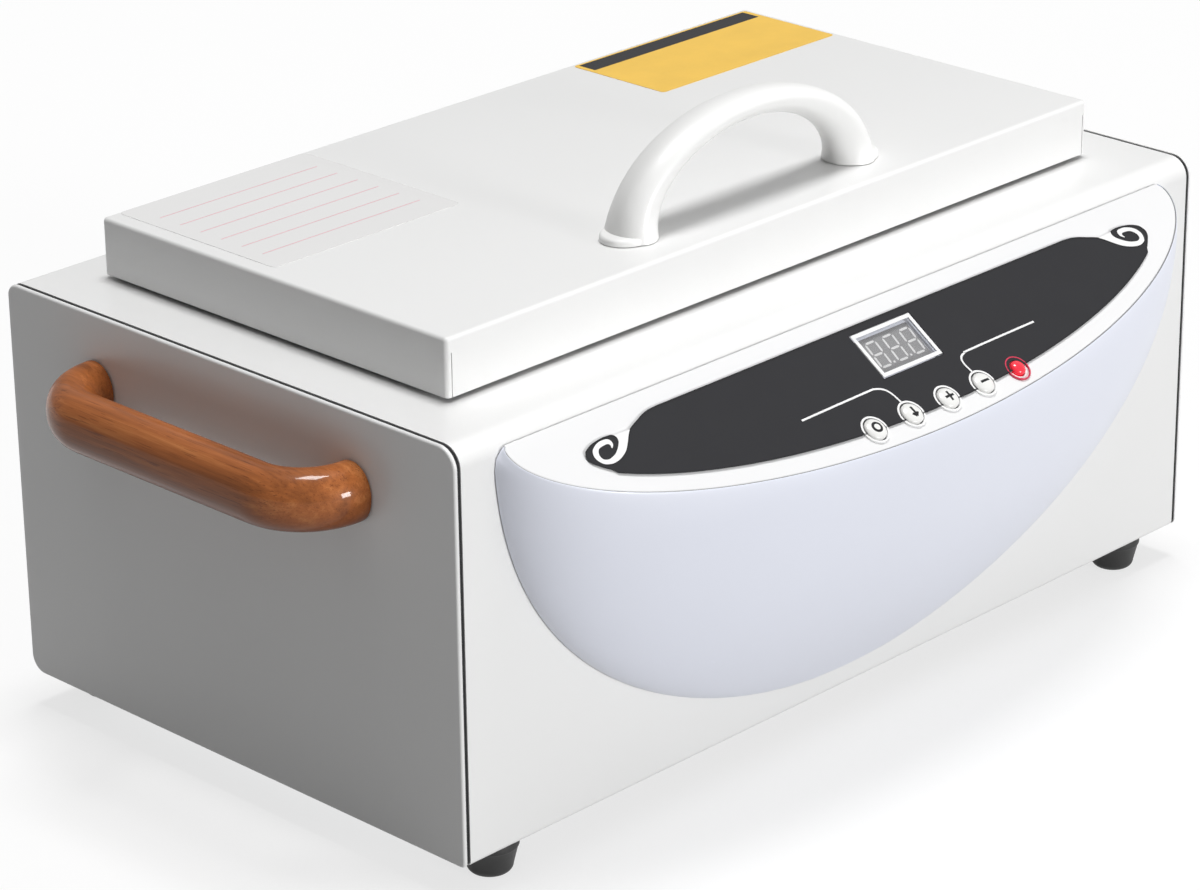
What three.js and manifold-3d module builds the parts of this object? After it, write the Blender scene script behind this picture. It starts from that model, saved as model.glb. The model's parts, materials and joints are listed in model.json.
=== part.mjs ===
// Dry heat sterilizer with a hinged lid: a folded steel cabinet, a moulded fascia with a sloped control
// panel, a heated chamber with a perforated tray, wooden carrying handles and rubber feet.
// Millimetres, +Z up. In the working frame X runs along the cabinet from its middle, Y runs back from
// the front wall and Z runs up from the surface that the feet stand on.

import * as THREE from 'three';
import { mergeVertices } from 'three/addons/utils/BufferGeometryUtils.js';
import Module from 'manifold-3d';

const wasm = await Module();
wasm.setup();

// Driving sizes of the cabinet
const cabinetLength = 360;
const cabinetDepth = 210;
const cabinetHeight = 140;
const footHeight = 12.5;
const cabinetSheet = 1.2;
const frontTopBend = 8;
const rearTopBend = 4.5;
const rearBottomBend = 6;
const frontBottomBend = 2;
const bottomFlangeWidth = 24;

// Clearances and shared values
const seatGap = 0.3;
const filmGap = 0.2;
const overrun = 3;
const arcSegments = 3;
const roundSides = 12;
const screwSides = 7;
const quarterTurn = Math.PI / 2;
const halfTurn = Math.PI;
const fullTurn = 2 * Math.PI;

// Driving sizes of the lid, as insets from the cabinet's outer faces
const lidEndInset = 24.7;
const lidFrontInset = 28;
const lidRearInset = 20.5;
const lidRise = 21;
const lidRunningGap = 1.5;
const lidSheet = 1;
const lidCornerRadius = 4.5;
const lidEdgeBend = 1.8;

// Driving sizes of the chamber
const chamberInset = 12.5;
const chamberDrop = 85;
const tankSheet = 0.8;
const tankCornerRadius = 14;
const tankFloorBend = 6;
const tankFlangeWidth = 7;
const tankOpeningClearance = 0.8;

// Places that follow from the driving sizes
const cabinetBottom = footHeight;
const cabinetTop = cabinetBottom + cabinetHeight;
const halfLength = cabinetLength / 2;
const lidLength = cabinetLength - 2 * lidEndInset;
const lidDepth = cabinetDepth - lidFrontInset - lidRearInset;
const lidCentre = lidFrontInset + lidDepth / 2;
const lidRear = cabinetDepth - lidRearInset;
const lidBottom = cabinetTop + lidRunningGap;
const lidTop = cabinetTop + lidRise;
const tankLength = lidLength - 2 * chamberInset;
const tankDepth = lidDepth - 2 * chamberInset;
const tankFront = lidCentre - tankDepth / 2;
const tankRear = lidCentre + tankDepth / 2;
const tankFloor = cabinetTop - chamberDrop;
const tankUnderside = tankFloor - tankSheet;

// Turns a closed geometry into a solid that can be joined and cut
function solid(item) {
  if (!(item instanceof THREE.BufferGeometry)) return item;
  const bare = item.clone();
  bare.deleteAttribute('normal');
  bare.deleteAttribute('uv');
  const merged = mergeVertices(bare);
  const corners = merged.index.array;
  const triangles = [];
  for (let i = 0; i < corners.length; i += 3) {
    const [a, b, c] = [corners[i], corners[i + 1], corners[i + 2]];
    if (a !== b && b !== c && c !== a) triangles.push(a, b, c);
  }
  return new wasm.Manifold(new wasm.Mesh({
    numProp: 3,
    vertProperties: Float32Array.from(merged.attributes.position.array),
    triVerts: Uint32Array.from(triangles),
  }));
}

function join(items) {
  return items.map(solid).reduce((whole, item) => whole.add(item));
}

function cut(base, tools) {
  return tools.map(solid).reduce((whole, tool) => whole.subtract(tool), solid(base));
}

function overlapOf(first, second) {
  return solid(first).intersect(solid(second));
}

// Makes the finished mesh of one piece
function piece(name, look, item) {
  const mesh = solid(item).getMesh();
  const geometry = new THREE.BufferGeometry();
  geometry.setAttribute('position', new THREE.BufferAttribute(Float32Array.from(mesh.vertProperties), 3));
  geometry.setIndex(new THREE.BufferAttribute(Uint32Array.from(mesh.triVerts), 1));
  geometry.computeVertexNormals();
  const finished = new THREE.Mesh(geometry, new THREE.MeshStandardMaterial(look));
  finished.name = name;
  return finished;
}

// Solids from spans: each span is a pair of low and high values
function block(x, y, z) {
  const geometry = new THREE.BoxGeometry(x[1] - x[0], y[1] - y[0], z[1] - z[0]);
  return geometry.translate((x[0] + x[1]) / 2, (y[0] + y[1]) / 2, (z[0] + z[1]) / 2);
}

function around(centre, width) {
  return [centre - width / 2, centre + width / 2];
}

function widened(span, by) {
  return [span[0] - by, span[1] + by];
}

function alongZ(shape, z, segments = arcSegments) {
  const options = { depth: z[1] - z[0], bevelEnabled: false, curveSegments: segments };
  return new THREE.ExtrudeGeometry(shape, options).translate(0, 0, z[0]);
}

// The shape's own axes are Y and Z
function alongX(shape, x, segments = arcSegments) {
  const turn = new THREE.Matrix4().makeBasis(
    new THREE.Vector3(0, 1, 0), new THREE.Vector3(0, 0, 1), new THREE.Vector3(1, 0, 0));
  return alongZ(shape, x, segments).applyMatrix4(turn);
}

// A round bar along Z, X or Y, given its radius and the two other coordinates of its axis
function barZ(radius, x, y, z, sides = roundSides) {
  const geometry = new THREE.CylinderGeometry(radius, radius, z[1] - z[0], sides);
  return geometry.rotateX(quarterTurn).translate(x, y, (z[0] + z[1]) / 2);
}

function barX(radius, x, y, z, sides = roundSides) {
  const geometry = new THREE.CylinderGeometry(radius, radius, x[1] - x[0], sides);
  return geometry.rotateZ(quarterTurn).translate((x[0] + x[1]) / 2, y, z);
}

function barY(radius, x, y, z, sides = roundSides) {
  const geometry = new THREE.CylinderGeometry(radius, radius, y[1] - y[0], sides);
  return geometry.translate(x, (y[0] + y[1]) / 2, z);
}

// A turned piece whose profile of [radius, height] pairs is revolved about Z
function turned(profile, sides = roundSides) {
  const points = profile.map(([radius, height]) => new THREE.Vector2(radius, height));
  return new THREE.LatheGeometry(points, sides).rotateX(quarterTurn);
}

function roundedRectangle(width, height, radius) {
  const [right, top] = [width / 2, height / 2];
  const shape = new THREE.Shape();
  shape.absarc(right - radius, top - radius, radius, 0, quarterTurn);
  shape.absarc(radius - right, top - radius, radius, quarterTurn, halfTurn);
  shape.absarc(radius - right, radius - top, radius, halfTurn, halfTurn + quarterTurn);
  shape.absarc(right - radius, radius - top, radius, halfTurn + quarterTurn, fullTurn);
  shape.closePath();
  return shape;
}

// A path through knots, so that bends get short steps and straight runs get one
class KnotPath extends THREE.Curve {
  constructor(knots) {
    super();
    this.knots = knots;
  }

  getUtoTmapping(u) {
    return u;
  }

  getPoint(t) {
    const place = t * (this.knots.length - 1);
    const start = Math.min(Math.floor(place), this.knots.length - 2);
    return this.knots[start].clone().lerp(this.knots[start + 1], place - start);
  }

  getTangent(t) {
    const last = this.knots.length - 1;
    const at = Math.round(t * last);
    const ahead = this.knots[Math.min(at + 1, last)].clone().sub(this.knots[Math.min(at, last - 1)]);
    const behind = this.knots[Math.max(at, 1)].clone().sub(this.knots[Math.max(at - 1, 0)]);
    return ahead.normalize().add(behind.normalize()).normalize();
  }
}

// Knots of an arc about a centre, from one direction of the plane to another
function arcKnots(centre, radius, first, second, steps) {
  const knots = [];
  for (let i = 0; i <= steps; i += 1) {
    const angle = quarterTurn * i / steps;
    knots.push(centre.clone()
      .addScaledVector(first, radius * Math.cos(angle))
      .addScaledVector(second, radius * Math.sin(angle)));
  }
  return knots;
}

function swept(shape, knots, segments = arcSegments) {
  const path = new KnotPath(knots);
  const options = {
    steps: knots.length - 1,
    bevelEnabled: false,
    extrudePath: path,
    curveSegments: segments,
  };
  return new THREE.ExtrudeGeometry(shape, options);
}

// Skins a row of rings, which have as many points each, and closes both ends
function lofted(rings) {
  const count = rings[0].length;
  const last = (rings.length - 1) * count;
  const corners = [];
  for (let ring = 0; ring < last; ring += count) {
    for (let i = 0; i < count; i += 1) {
      const next = (i + 1) % count;
      corners.push(ring + i, ring + next, ring + count + next);
      corners.push(ring + i, ring + count + next, ring + count + i);
    }
  }
  for (let i = 1; i < count - 1; i += 1) {
    corners.push(0, i + 1, i);
    corners.push(last, last + i, last + i + 1);
  }
  const geometry = new THREE.BufferGeometry().setFromPoints(rings.flat());
  geometry.setIndex(corners);
  return geometry;
}

function disc(radius, sides) {
  const points = [];
  for (let i = 0; i < sides; i += 1) {
    const angle = fullTurn * i / sides;
    points.push(new THREE.Vector2(radius * Math.cos(angle), radius * Math.sin(angle)));
  }
  return new THREE.Shape(points);
}

// Looks of the real surfaces
const whiteEnamel = { color: '#eeeeec', roughness: 0.35, metalness: 0 };
const fasciaPlastic = { color: '#d5d8e8', roughness: 0.3, metalness: 0 };
const panelPlastic = { color: '#f4f4f6', roughness: 0.35, metalness: 0 };
const overlayFilm = { color: '#3e3e42', roughness: 0.45, metalness: 0 };
const windowPlastic = { color: '#8d8f93', roughness: 0.15, metalness: 0 };
const displayPlastic = { color: '#2a2a2c', roughness: 0.5, metalness: 0 };
const boardLaminate = { color: '#2f6a45', roughness: 0.6, metalness: 0 };
const clearButton = { color: '#ecebe6', roughness: 0.25, metalness: 0 };
const redButton = { color: '#e0243c', roughness: 0.25, metalness: 0 };
const varnishedWood = { color: '#b0622c', roughness: 0.25, metalness: 0 };
const blackRubber = { color: '#161617', roughness: 0.8, metalness: 0 };
const handlePlastic = { color: '#f2f2ef', roughness: 0.2, metalness: 0 };
const stainless = { color: '#b9bcbd', roughness: 0.3, metalness: 1 };
const zincSteel = { color: '#a4a8ab', roughness: 0.45, metalness: 1 };
const heaterSheath = { color: '#6f6a64', roughness: 0.6, metalness: 1 };
const glassFibre = { color: '#d8d0b4', roughness: 0.95, metalness: 0 };
const silicone = { color: '#4a4a4c', roughness: 0.7, metalness: 0 };
const blackPlastic = { color: '#1c1c1e', roughness: 0.5, metalness: 0 };
const coreSteel = { color: '#5b5d60', roughness: 0.6, metalness: 1 };

// The cabinet's outline in the Y and Z plane, drawn in from its outer faces
function cabinetOutline(inset) {
  const least = cabinetSheet / 4;
  const [front, rear] = [inset, cabinetDepth - inset];
  const [low, high] = [cabinetBottom + inset, cabinetTop - inset];
  const bend = (radius) => Math.max(radius - inset, least);
  const shape = new THREE.Shape();
  const [a, b, c, d] = [rearTopBend, frontTopBend, frontBottomBend, rearBottomBend].map(bend);
  shape.absarc(rear - a, high - a, a, 0, quarterTurn);
  shape.absarc(front + b, high - b, b, quarterTurn, halfTurn);
  shape.absarc(front + c, low + c, c, halfTurn, halfTurn + quarterTurn);
  shape.absarc(rear - d, low + d, d, halfTurn + quarterTurn, fullTurn);
  shape.closePath();
  return shape;
}

// End plates: a flat cap with a rim that turns in behind the wrapper
const endSheet = 2;
const endJointGap = 0.7;
const endRimDepth = 8;
const rimSegments = 1;

// Wooden bow handles on the end plates
const handleSpan = 121;
const handleStandOff = 21;
const handleBendRadius = 20;
const handleBendSteps = 6;
const handleHalfHeight = 10;
const handleHalfThickness = 8.5;
const handleAboveUnderside = 114.5;
const handleSides = 12;
const handleSquarenessShare = 0.95;
const handleScrewReach = 14;
const handleHeight = cabinetBottom + handleAboveUnderside;
const handleEnds = [-1, 1].map((side) => cabinetDepth / 2 + side * handleSpan / 2);

// Pan-head screws: shank radius, head radius and head height
const handleScrew = { shank: 2, head: 3.8, headHeight: 2.4 };
const footScrew = { shank: 1.6, head: 3, headHeight: 1.8 };
const fasciaScrew = { shank: 1.4, head: 2.8, headHeight: 1.8 };
const lidScrew = { shank: 1.8, head: 3.6, headHeight: 2.2 };

// Rubber feet
const footEndInset = 22;
const footFrontInset = 11.5;
const footTopRadius = 9.5;
const footBottomRadius = 7.6;
const footRounding = 2.6;
const footRecessRadius = 3.4;
const footRecessDepth = 5.5;
const footScrewReach = 12;

// Base plate on the wrapper's bottom flanges
const baseSheet = 1.2;
const baseUnderside = cabinetBottom + cabinetSheet + seatGap;
const baseTop = baseUnderside + baseSheet;
const baseHalfLength = halfLength - endSheet - endRimDepth - seatGap;
const baseEdgeInset = cabinetSheet + 2 * seatGap;
const baseRearInset = rearBottomBend + seatGap;
const ventSlotWidth = 4;
const ventSlotLength = 26;
const ventPitch = 10;
const baseVentCount = 7;
const baseVentRowShares = [0.32, 0.7];
const rearVentCount = 9;
const rearVentAboveUnderside = 96;
const rearVentEndInset = 60;

// Power inlet in the rear wall
const inletWidth = 27;
const inletHeight = 20;
const inletCornerRadius = 3;
const inletBezelRim = 2.4;
const inletBezelThickness = 2.5;
const inletBodyDepth = 19;
const inletSocketWidth = 24;
const inletSocketHeight = 16.5;
const inletSocketDepth = 16;
const inletPinLength = 9.5;
const inletPinThickness = 2;
const inletPinHeight = 4;
const inletPinPitch = 7;
const inletPinOffset = 2;
const inletTabLength = 7;
const inletTabWidth = 4.8;
const inletTabThickness = 0.8;
const inletFromEnd = 62;
const inletAboveUnderside = 34;
const inletAcross = halfLength - inletFromEnd;
const inletHeightPlace = cabinetBottom + inletAboveUnderside;

// The fascia moulding: its reach from the front wall and half width, both by height
const fasciaReach = 44;
const fasciaHalfWidth = 164;
const fasciaWall = 2.5;
const fasciaAboveUnderside = 7;
const panelSlope = THREE.MathUtils.degToRad(34.5);
const panelTopDrop = 4;
const fasciaCrownRise = 1;
const reachExponentShare = 1.6;
const crownExponentShare = 2.29;
const sideExponentShare = 1.89;
const fasciaRows = 10;
const fasciaRowExponentShare = 1.5;
const fasciaSides = 40;
const panelTop = cabinetTop - panelTopDrop;
const fasciaBottom = cabinetBottom + fasciaAboveUnderside;
const lipHeight = panelTop - fasciaReach * Math.tan(panelSlope);

// The control panel, its overlay and what sits under them
const panelThickness = 1.2;
const panelRimWidth = 0.8;
const panelTopMargin = 1.2;
const panelSegments = 14;
const overlayThickness = 0.4;
const deckThickness = 2.2;
const deckTop = -(panelThickness + seatGap);
const deckUnderside = deckTop - deckThickness;
const overlayTop = filmGap + overlayThickness;

// Push buttons, named from left to right, with their places along the panel
const buttonPitch = 17.75;
const buttonRowCentre = 4.4;
const buttonDown = 43.8;
const buttonRadius = 4;
const timerButtonRadius = 2.75;
const buttonHoleClearance = 0.35;
const buttonDomeRise = 2.2;
const buttonCollarRadius = 5.4;
const buttonCollarHeight = 1.2;
const buttonStemRadius = 2;
const buttonStemDrop = 6.6;
const buttonTravel = 1;
const buttonDomeSteps = 3;
const buttonSides = 10;
const buttonNames = ['power_button', 'down_button', 'plus_button', 'minus_button', 'timer_button'];

// The display window and the display block under it
const windowCentreAcross = 2.1;
const windowCentreDown = 19.6;
const windowWidth = 28.8;
const windowHeight = 17.8;
const windowLedge = 1.6;
const displayDepth = 7;

// The control board under the deck
const boardLength = 128;
const boardHeight = 37;
const boardThickness = 1.6;
const boardDown = 31.5;
const switchSize = 6;
const chipLength = 18;
const chipWidth = 10;
const chipHeight = 2;

// Screw bosses inside the fascia, as shares of its half width and height
const bossRadius = 4.2;
const bossBore = 1.6;
const bossBoreDepth = 7;
const bossPlaceShares = [[0.74, 0.72], [0.5, 0.3]];

// Wiring opening in the front wall
const wiringOpeningWidth = 120;
const wiringOpeningHeight = 40;
const wiringOpeningRadius = 6;

function fasciaReachAt(height, reach, bottom) {
  const share = THREE.MathUtils.clamp((height - bottom) / (lipHeight - bottom), 0, 1);
  return reach * (1 - (1 - share) ** reachExponentShare);
}

function fasciaHalfWidthAt(height, halfWidth, bottom) {
  const crown = cabinetTop + fasciaCrownRise;
  const share = THREE.MathUtils.clamp((crown - height) / (crown - bottom), 0, 1);
  return halfWidth * Math.max(1 - share ** crownExponentShare, 0) ** (1 / sideExponentShare);
}

// A closed dome whose level sections are half ellipses, drawn in from the fascia's outer face
function fasciaDome(wall) {
  const reach = fasciaReach - wall;
  const halfWidth = fasciaHalfWidth - wall;
  const bottom = fasciaBottom + 2 * wall;
  const heights = [];
  for (let row = 0; row <= fasciaRows; row += 1) {
    heights.push(bottom + (lipHeight - bottom) * (row / fasciaRows) ** fasciaRowExponentShare);
  }
  heights.push((lipHeight + cabinetTop) / 2, cabinetTop);
  const profile = heights.map((height) => [fasciaReachAt(height, reach, bottom), height]);
  profile.push([0, cabinetTop]);
  const dome = turned(profile, fasciaSides);
  const places = dome.attributes.position;
  for (let i = 0; i < places.count; i += 1) {
    const height = places.getZ(i);
    const radius = fasciaReachAt(height, reach, bottom);
    if (radius > 0) {
      places.setX(i, places.getX(i) * fasciaHalfWidthAt(height, halfWidth, bottom) / radius);
    }
  }
  return dome;
}

// The panel's own frame: X across, Y up the slope and Z out of the panel's top face
const panelFrame = new THREE.Matrix4().makeRotationX(panelSlope).setPosition(0, 0, panelTop);

function onPanel(item) {
  return item.clone().applyMatrix4(panelFrame);
}

// Half widths of the lip's ellipse on the panel's plane
const lipAcross = fasciaHalfWidthAt(lipHeight, fasciaHalfWidth, fasciaBottom);
const lipDown = fasciaReach / Math.cos(panelSlope);

function panelOutline(inset) {
  const shape = new THREE.Shape();
  const across = lipAcross - panelRimWidth - inset;
  const down = lipDown - panelRimWidth - inset;
  const top = panelTopMargin + inset;
  const start = halfTurn + Math.asin(top / down);
  shape.absellipse(0, 0, across, down, start, fullTurn + halfTurn - start);
  shape.closePath();
  return shape;
}

function buttonPlaces() {
  const middle = (buttonNames.length - 1) / 2;
  return buttonNames.map((name, index) => ({
    name,
    across: buttonRowCentre + (index - middle) * buttonPitch,
    up: -buttonDown,
    radius: name === 'timer_button' ? timerButtonRadius : buttonRadius,
  }));
}

function windowSpan(grow) {
  return {
    across: widened(around(windowCentreAcross, windowWidth), grow),
    up: widened(around(-windowCentreDown, windowHeight), grow),
  };
}

function bossPlaces() {
  const places = [];
  for (const side of [-1, 1]) {
    for (const [acrossShare, heightShare] of bossPlaceShares) {
      const height = fasciaBottom + heightShare * (panelTop - fasciaBottom);
      places.push({ side, across: side * acrossShare * fasciaHalfWidth, height });
    }
  }
  return places;
}

// Everything above a level of the panel's frame
function abovePanel(level) {
  const wide = cabinetLength;
  return onPanel(block([-wide, wide], [-wide, wide], [level, level + wide]));
}

function fasciaShell() {
  const cavity = cut(fasciaDome(fasciaWall), [abovePanel(deckUnderside)]);
  const boss = (place) => barY(bossRadius, place.across, [-fasciaReach, -seatGap], place.height);
  const bore = (place) => barY(bossBore, place.across, [-bossBoreDepth, overrun], place.height);
  const bosses = bossPlaces().map((place) => overlapOf(boss(place), fasciaDome(0)));
  const hollow = cut(fasciaDome(0), [cavity]);
  const pocket = onPanel(alongZ(panelOutline(-seatGap), [deckTop, overrun], panelSegments));
  const displayHole = windowSpan(-windowLedge);
  const behind = block([-cabinetLength, cabinetLength], [-seatGap, cabinetDepth], [0, lidTop]);
  const holes = buttonPlaces().map((place) => onPanel(
    barZ(place.radius + buttonHoleClearance, place.across, place.up, [deckUnderside - overrun, overrun])));
  return cut(join([hollow, ...bosses]), [
    abovePanel(0),
    pocket,
    onPanel(block(displayHole.across, displayHole.up, [deckUnderside - overrun, overrun])),
    behind,
    ...holes,
    ...bossPlaces().map(bore),
  ]);
}

function controlPanel() {
  const opening = windowSpan(seatGap);
  const span = [-panelThickness - overrun, overrun];
  const holes = buttonPlaces().map((place) => (
    barZ(place.radius + buttonHoleClearance, place.across, place.up, span)));
  return cut(alongZ(panelOutline(0), [-panelThickness, 0], panelSegments), [
    block(opening.across, opening.up, span),
    ...holes,
  ]);
}

// The dark overlay: a bow with a straight top edge and a scroll at each end
const overlayAcross = 152;
const overlayDown = 45.2;
const overlayTopDown = 7.7;
const overlayTopHalf = 103;
const overlayNotchAcross = 119.5;
const overlayNotchDown = 14.6;
const overlayShoulderAcross = 113;
const scrollAcross = 129.5;
const scrollDown = 15.6;
const scrollRadius = 7.6;
const scrollSteps = 7;
const scrollStart = THREE.MathUtils.degToRad(160);
const scrollEnd = THREE.MathUtils.degToRad(-42);
const overlayEdgeSteps = 16;
const overlayEdgeShare = 0.855;

function overlayOutline() {
  const right = [];
  right.push([overlayTopHalf, -overlayTopDown]);
  right.push([overlayShoulderAcross, -(overlayTopDown + (overlayNotchDown - overlayTopDown) / 3)]);
  right.push([overlayNotchAcross, -overlayNotchDown]);
  for (let i = 0; i <= scrollSteps; i += 1) {
    const angle = scrollStart + (scrollEnd - scrollStart) * i / scrollSteps;
    right.push([scrollAcross + scrollRadius * Math.cos(angle), scrollRadius * Math.sin(angle) - scrollDown]);
  }
  for (let i = 0; i <= overlayEdgeSteps / 2; i += 1) {
    const across = overlayAcross * overlayEdgeShare * (1 - 2 * i / overlayEdgeSteps);
    right.push([across, -overlayDown * Math.sqrt(1 - (across / overlayAcross) ** 2)]);
  }
  const left = right.slice(0, -1).reverse().map(([across, up]) => [-across, up]);
  return new THREE.Shape([...right, ...left].map(([across, up]) => new THREE.Vector2(across, up)));
}

function panelOverlay() {
  const opening = windowSpan(seatGap);
  const span = [-overrun, overlayTop + overrun];
  const holes = buttonPlaces().map((place) => (
    barZ(place.radius + buttonHoleClearance, place.across, place.up, span)));
  return cut(alongZ(overlayOutline(), [filmGap, overlayTop]), [
    block(opening.across, opening.up, span),
    ...holes,
  ]);
}

function displayWindow() {
  const span = windowSpan(0);
  return block(span.across, span.up, [deckTop + seatGap, overlayTop]);
}

function displayModule() {
  const span = windowSpan(-windowLedge - seatGap);
  return block(span.across, span.up, [deckTop - displayDepth, deckTop]);
}

const boardTop = deckTop - displayDepth - seatGap;

function controlBoard() {
  const board = block(
    around(windowCentreAcross, boardLength),
    around(-boardDown, boardHeight),
    [boardTop - boardThickness, boardTop]);
  const root = boardTop - boardThickness / 2;
  const switchTop = overlayTop - buttonStemDrop - buttonTravel - seatGap;
  const switches = buttonPlaces().map((place) => (
    block(around(place.across, switchSize), around(place.up, switchSize), [root, switchTop])));
  const chip = block(
    around(windowCentreAcross - boardLength / 4, chipLength),
    around(-boardDown, chipWidth),
    [root, boardTop + chipHeight]);
  return join([board, chip, ...switches]);
}

function pushButton(place) {
  const collarTop = deckUnderside - seatGap;
  const collarBottom = collarTop - buttonCollarHeight;
  const profile = [
    [0, overlayTop - buttonStemDrop],
    [buttonStemRadius, overlayTop - buttonStemDrop],
    [buttonStemRadius, collarBottom],
    [buttonCollarRadius, collarBottom],
    [buttonCollarRadius, collarTop],
    [place.radius, collarTop],
  ];
  for (let i = 0; i < buttonDomeSteps; i += 1) {
    const angle = quarterTurn * i / buttonDomeSteps;
    profile.push([place.radius * Math.cos(angle), overlayTop + buttonDomeRise * Math.sin(angle)]);
  }
  profile.push([0, overlayTop + buttonDomeRise]);
  return turned(profile, buttonSides).translate(place.across, place.up, 0);
}

// A pan-head screw along Z with its head below and its shank pointing up from the origin
function screwProfile(screw, reach) {
  const { shank, head, headHeight } = screw;
  return turned([
    [0, -headHeight],
    [head - headHeight / 2, -headHeight],
    [head, -headHeight / 2],
    [head, 0],
    [shank, 0],
    [shank, reach],
    [0, reach],
  ], screwSides);
}

function fasciaScrewAt(place) {
  return screwProfile(fasciaScrew, cabinetSheet + bossBoreDepth).rotateX(quarterTurn)
    .translate(place.across, cabinetSheet + seatGap, place.height);
}

// The folded wrapper, open at the ends, with two flanges along its bottom
const wrapperHalf = halfLength - endSheet - endJointGap;

function ventSlots(count, centre, y, z) {
  const slots = [];
  for (let i = 0; i < count; i += 1) {
    slots.push(block(around(centre + (i - (count - 1) / 2) * ventPitch, ventSlotWidth), y, z));
  }
  return slots;
}

function footPlaces() {
  const places = [];
  for (const end of ['left', 'right']) {
    for (const row of ['front', 'rear']) {
      places.push({
        name: `${end}_${row}`,
        x: (end === 'left' ? -1 : 1) * (halfLength - footEndInset),
        y: row === 'front' ? footFrontInset : cabinetDepth - footFrontInset,
      });
    }
  }
  return places;
}

function footScrewHoles() {
  const span = [cabinetBottom - overrun, baseTop + overrun];
  return footPlaces().map((place) => barZ(footScrew.shank + seatGap, place.x, place.y, span, screwSides));
}

function tankOutline(grow) {
  return roundedRectangle(tankLength + 2 * grow, tankDepth + 2 * grow, tankCornerRadius + grow);
}

function cabinetWrapper() {
  const across = [-wrapperHalf, wrapperHalf];
  const shell = cut(alongX(cabinetOutline(0), across), [
    alongX(cabinetOutline(cabinetSheet), widened(across, overrun)),
  ]);
  const chamberOpening = alongZ(tankOutline(tankOpeningClearance), [cabinetTop - lidRise, lidTop])
    .translate(0, lidCentre, 0);
  const wiring = roundedRectangle(wiringOpeningWidth, wiringOpeningHeight, wiringOpeningRadius);
  const wiringOpening = alongZ(wiring, [-lidFrontInset / 2, lidFrontInset / 2])
    .rotateX(quarterTurn).translate(0, 0, (fasciaBottom + panelTop) / 2);
  const inlet = roundedRectangle(inletWidth + 2 * seatGap, inletHeight + 2 * seatGap, inletCornerRadius);
  const inletOpening = alongZ(inlet, [-inletBodyDepth / 2, inletBodyDepth / 2])
    .rotateX(quarterTurn).translate(inletAcross, cabinetDepth, inletHeightPlace);
  const rearSlots = ventSlots(
    rearVentCount,
    halfLength - rearVentEndInset - rearVentCount * ventPitch / 2,
    [cabinetDepth - cabinetSheet - overrun, cabinetDepth + overrun],
    around(cabinetBottom + rearVentAboveUnderside, ventSlotLength));
  const screwHoles = bossPlaces().map((place) => barY(
    fasciaScrew.shank + seatGap, place.across, [-overrun, cabinetSheet + overrun], place.height, screwSides));
  return cut(shell, [
    block(
      widened(across, overrun),
      [bottomFlangeWidth, cabinetDepth - bottomFlangeWidth],
      [cabinetBottom - overrun, cabinetBottom + cabinetSheet + overrun]),
    chamberOpening,
    wiringOpening,
    inletOpening,
    ...rearSlots,
    ...screwHoles,
    ...footScrewHoles(),
  ]);
}

function basePlate() {
  const plate = block(
    [-baseHalfLength, baseHalfLength],
    [baseEdgeInset, cabinetDepth - baseRearInset],
    [baseUnderside, baseTop]);
  const through = [baseUnderside - overrun, baseTop + overrun];
  const slots = baseVentRowShares.flatMap((share) => (
    ventSlots(baseVentCount, 0, around(share * cabinetDepth, ventSlotLength), through)));
  const pillars = powerBoardPillars().map((place) => (
    barZ(pillarRadius, place.x, place.y, [baseTop - baseSheet / 2, baseTop + pillarHeight], screwSides)));
  return cut(join([plate, ...pillars]), [...slots, ...footScrewHoles()]);
}

// An end plate for the left end, mirrored for the right one
function endPlate(side) {
  const plateSpan = [-halfLength, endSheet - halfLength];
  const rimSpan = [plateSpan[1] - endSheet / 2, plateSpan[1] + endRimDepth];
  const rim = cut(alongX(cabinetOutline(cabinetSheet + seatGap), rimSpan, rimSegments), [
    alongX(cabinetOutline(cabinetSheet + seatGap + endSheet), widened(rimSpan, overrun), rimSegments),
  ]);
  const plate = alongX(cabinetOutline(0), plateSpan);
  const holes = handleEnds.map((y) => (
    barX(handleScrew.shank + seatGap, widened(plateSpan, overrun), y, handleHeight, screwSides)));
  return mirrored(cut(join([plate, rim]), holes), side);
}

// Keeps a piece of the left end as it is and mirrors it in the cabinet's middle for the right end
function mirrored(item, side) {
  if (side < 0) return solid(item);
  const mesh = solid(item).getMesh();
  const places = Float32Array.from(mesh.vertProperties);
  for (let i = 0; i < places.length; i += 3) places[i] = -places[i];
  const corners = Uint32Array.from(mesh.triVerts);
  for (let i = 0; i < corners.length; i += 3) {
    [corners[i], corners[i + 1]] = [corners[i + 1], corners[i]];
  }
  return new wasm.Manifold(new wasm.Mesh({ numProp: 3, vertProperties: places, triVerts: corners }));
}

function handleSection() {
  const points = [];
  for (let i = 0; i < handleSides; i += 1) {
    const angle = fullTurn * i / handleSides;
    const [c, s] = [Math.cos(angle), Math.sin(angle)];
    points.push(new THREE.Vector2(
      handleHalfHeight * Math.sign(c) * Math.abs(c) ** handleSquarenessShare,
      handleHalfThickness * Math.sign(s) * Math.abs(s) ** handleSquarenessShare));
  }
  return new THREE.Shape(points);
}

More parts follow.
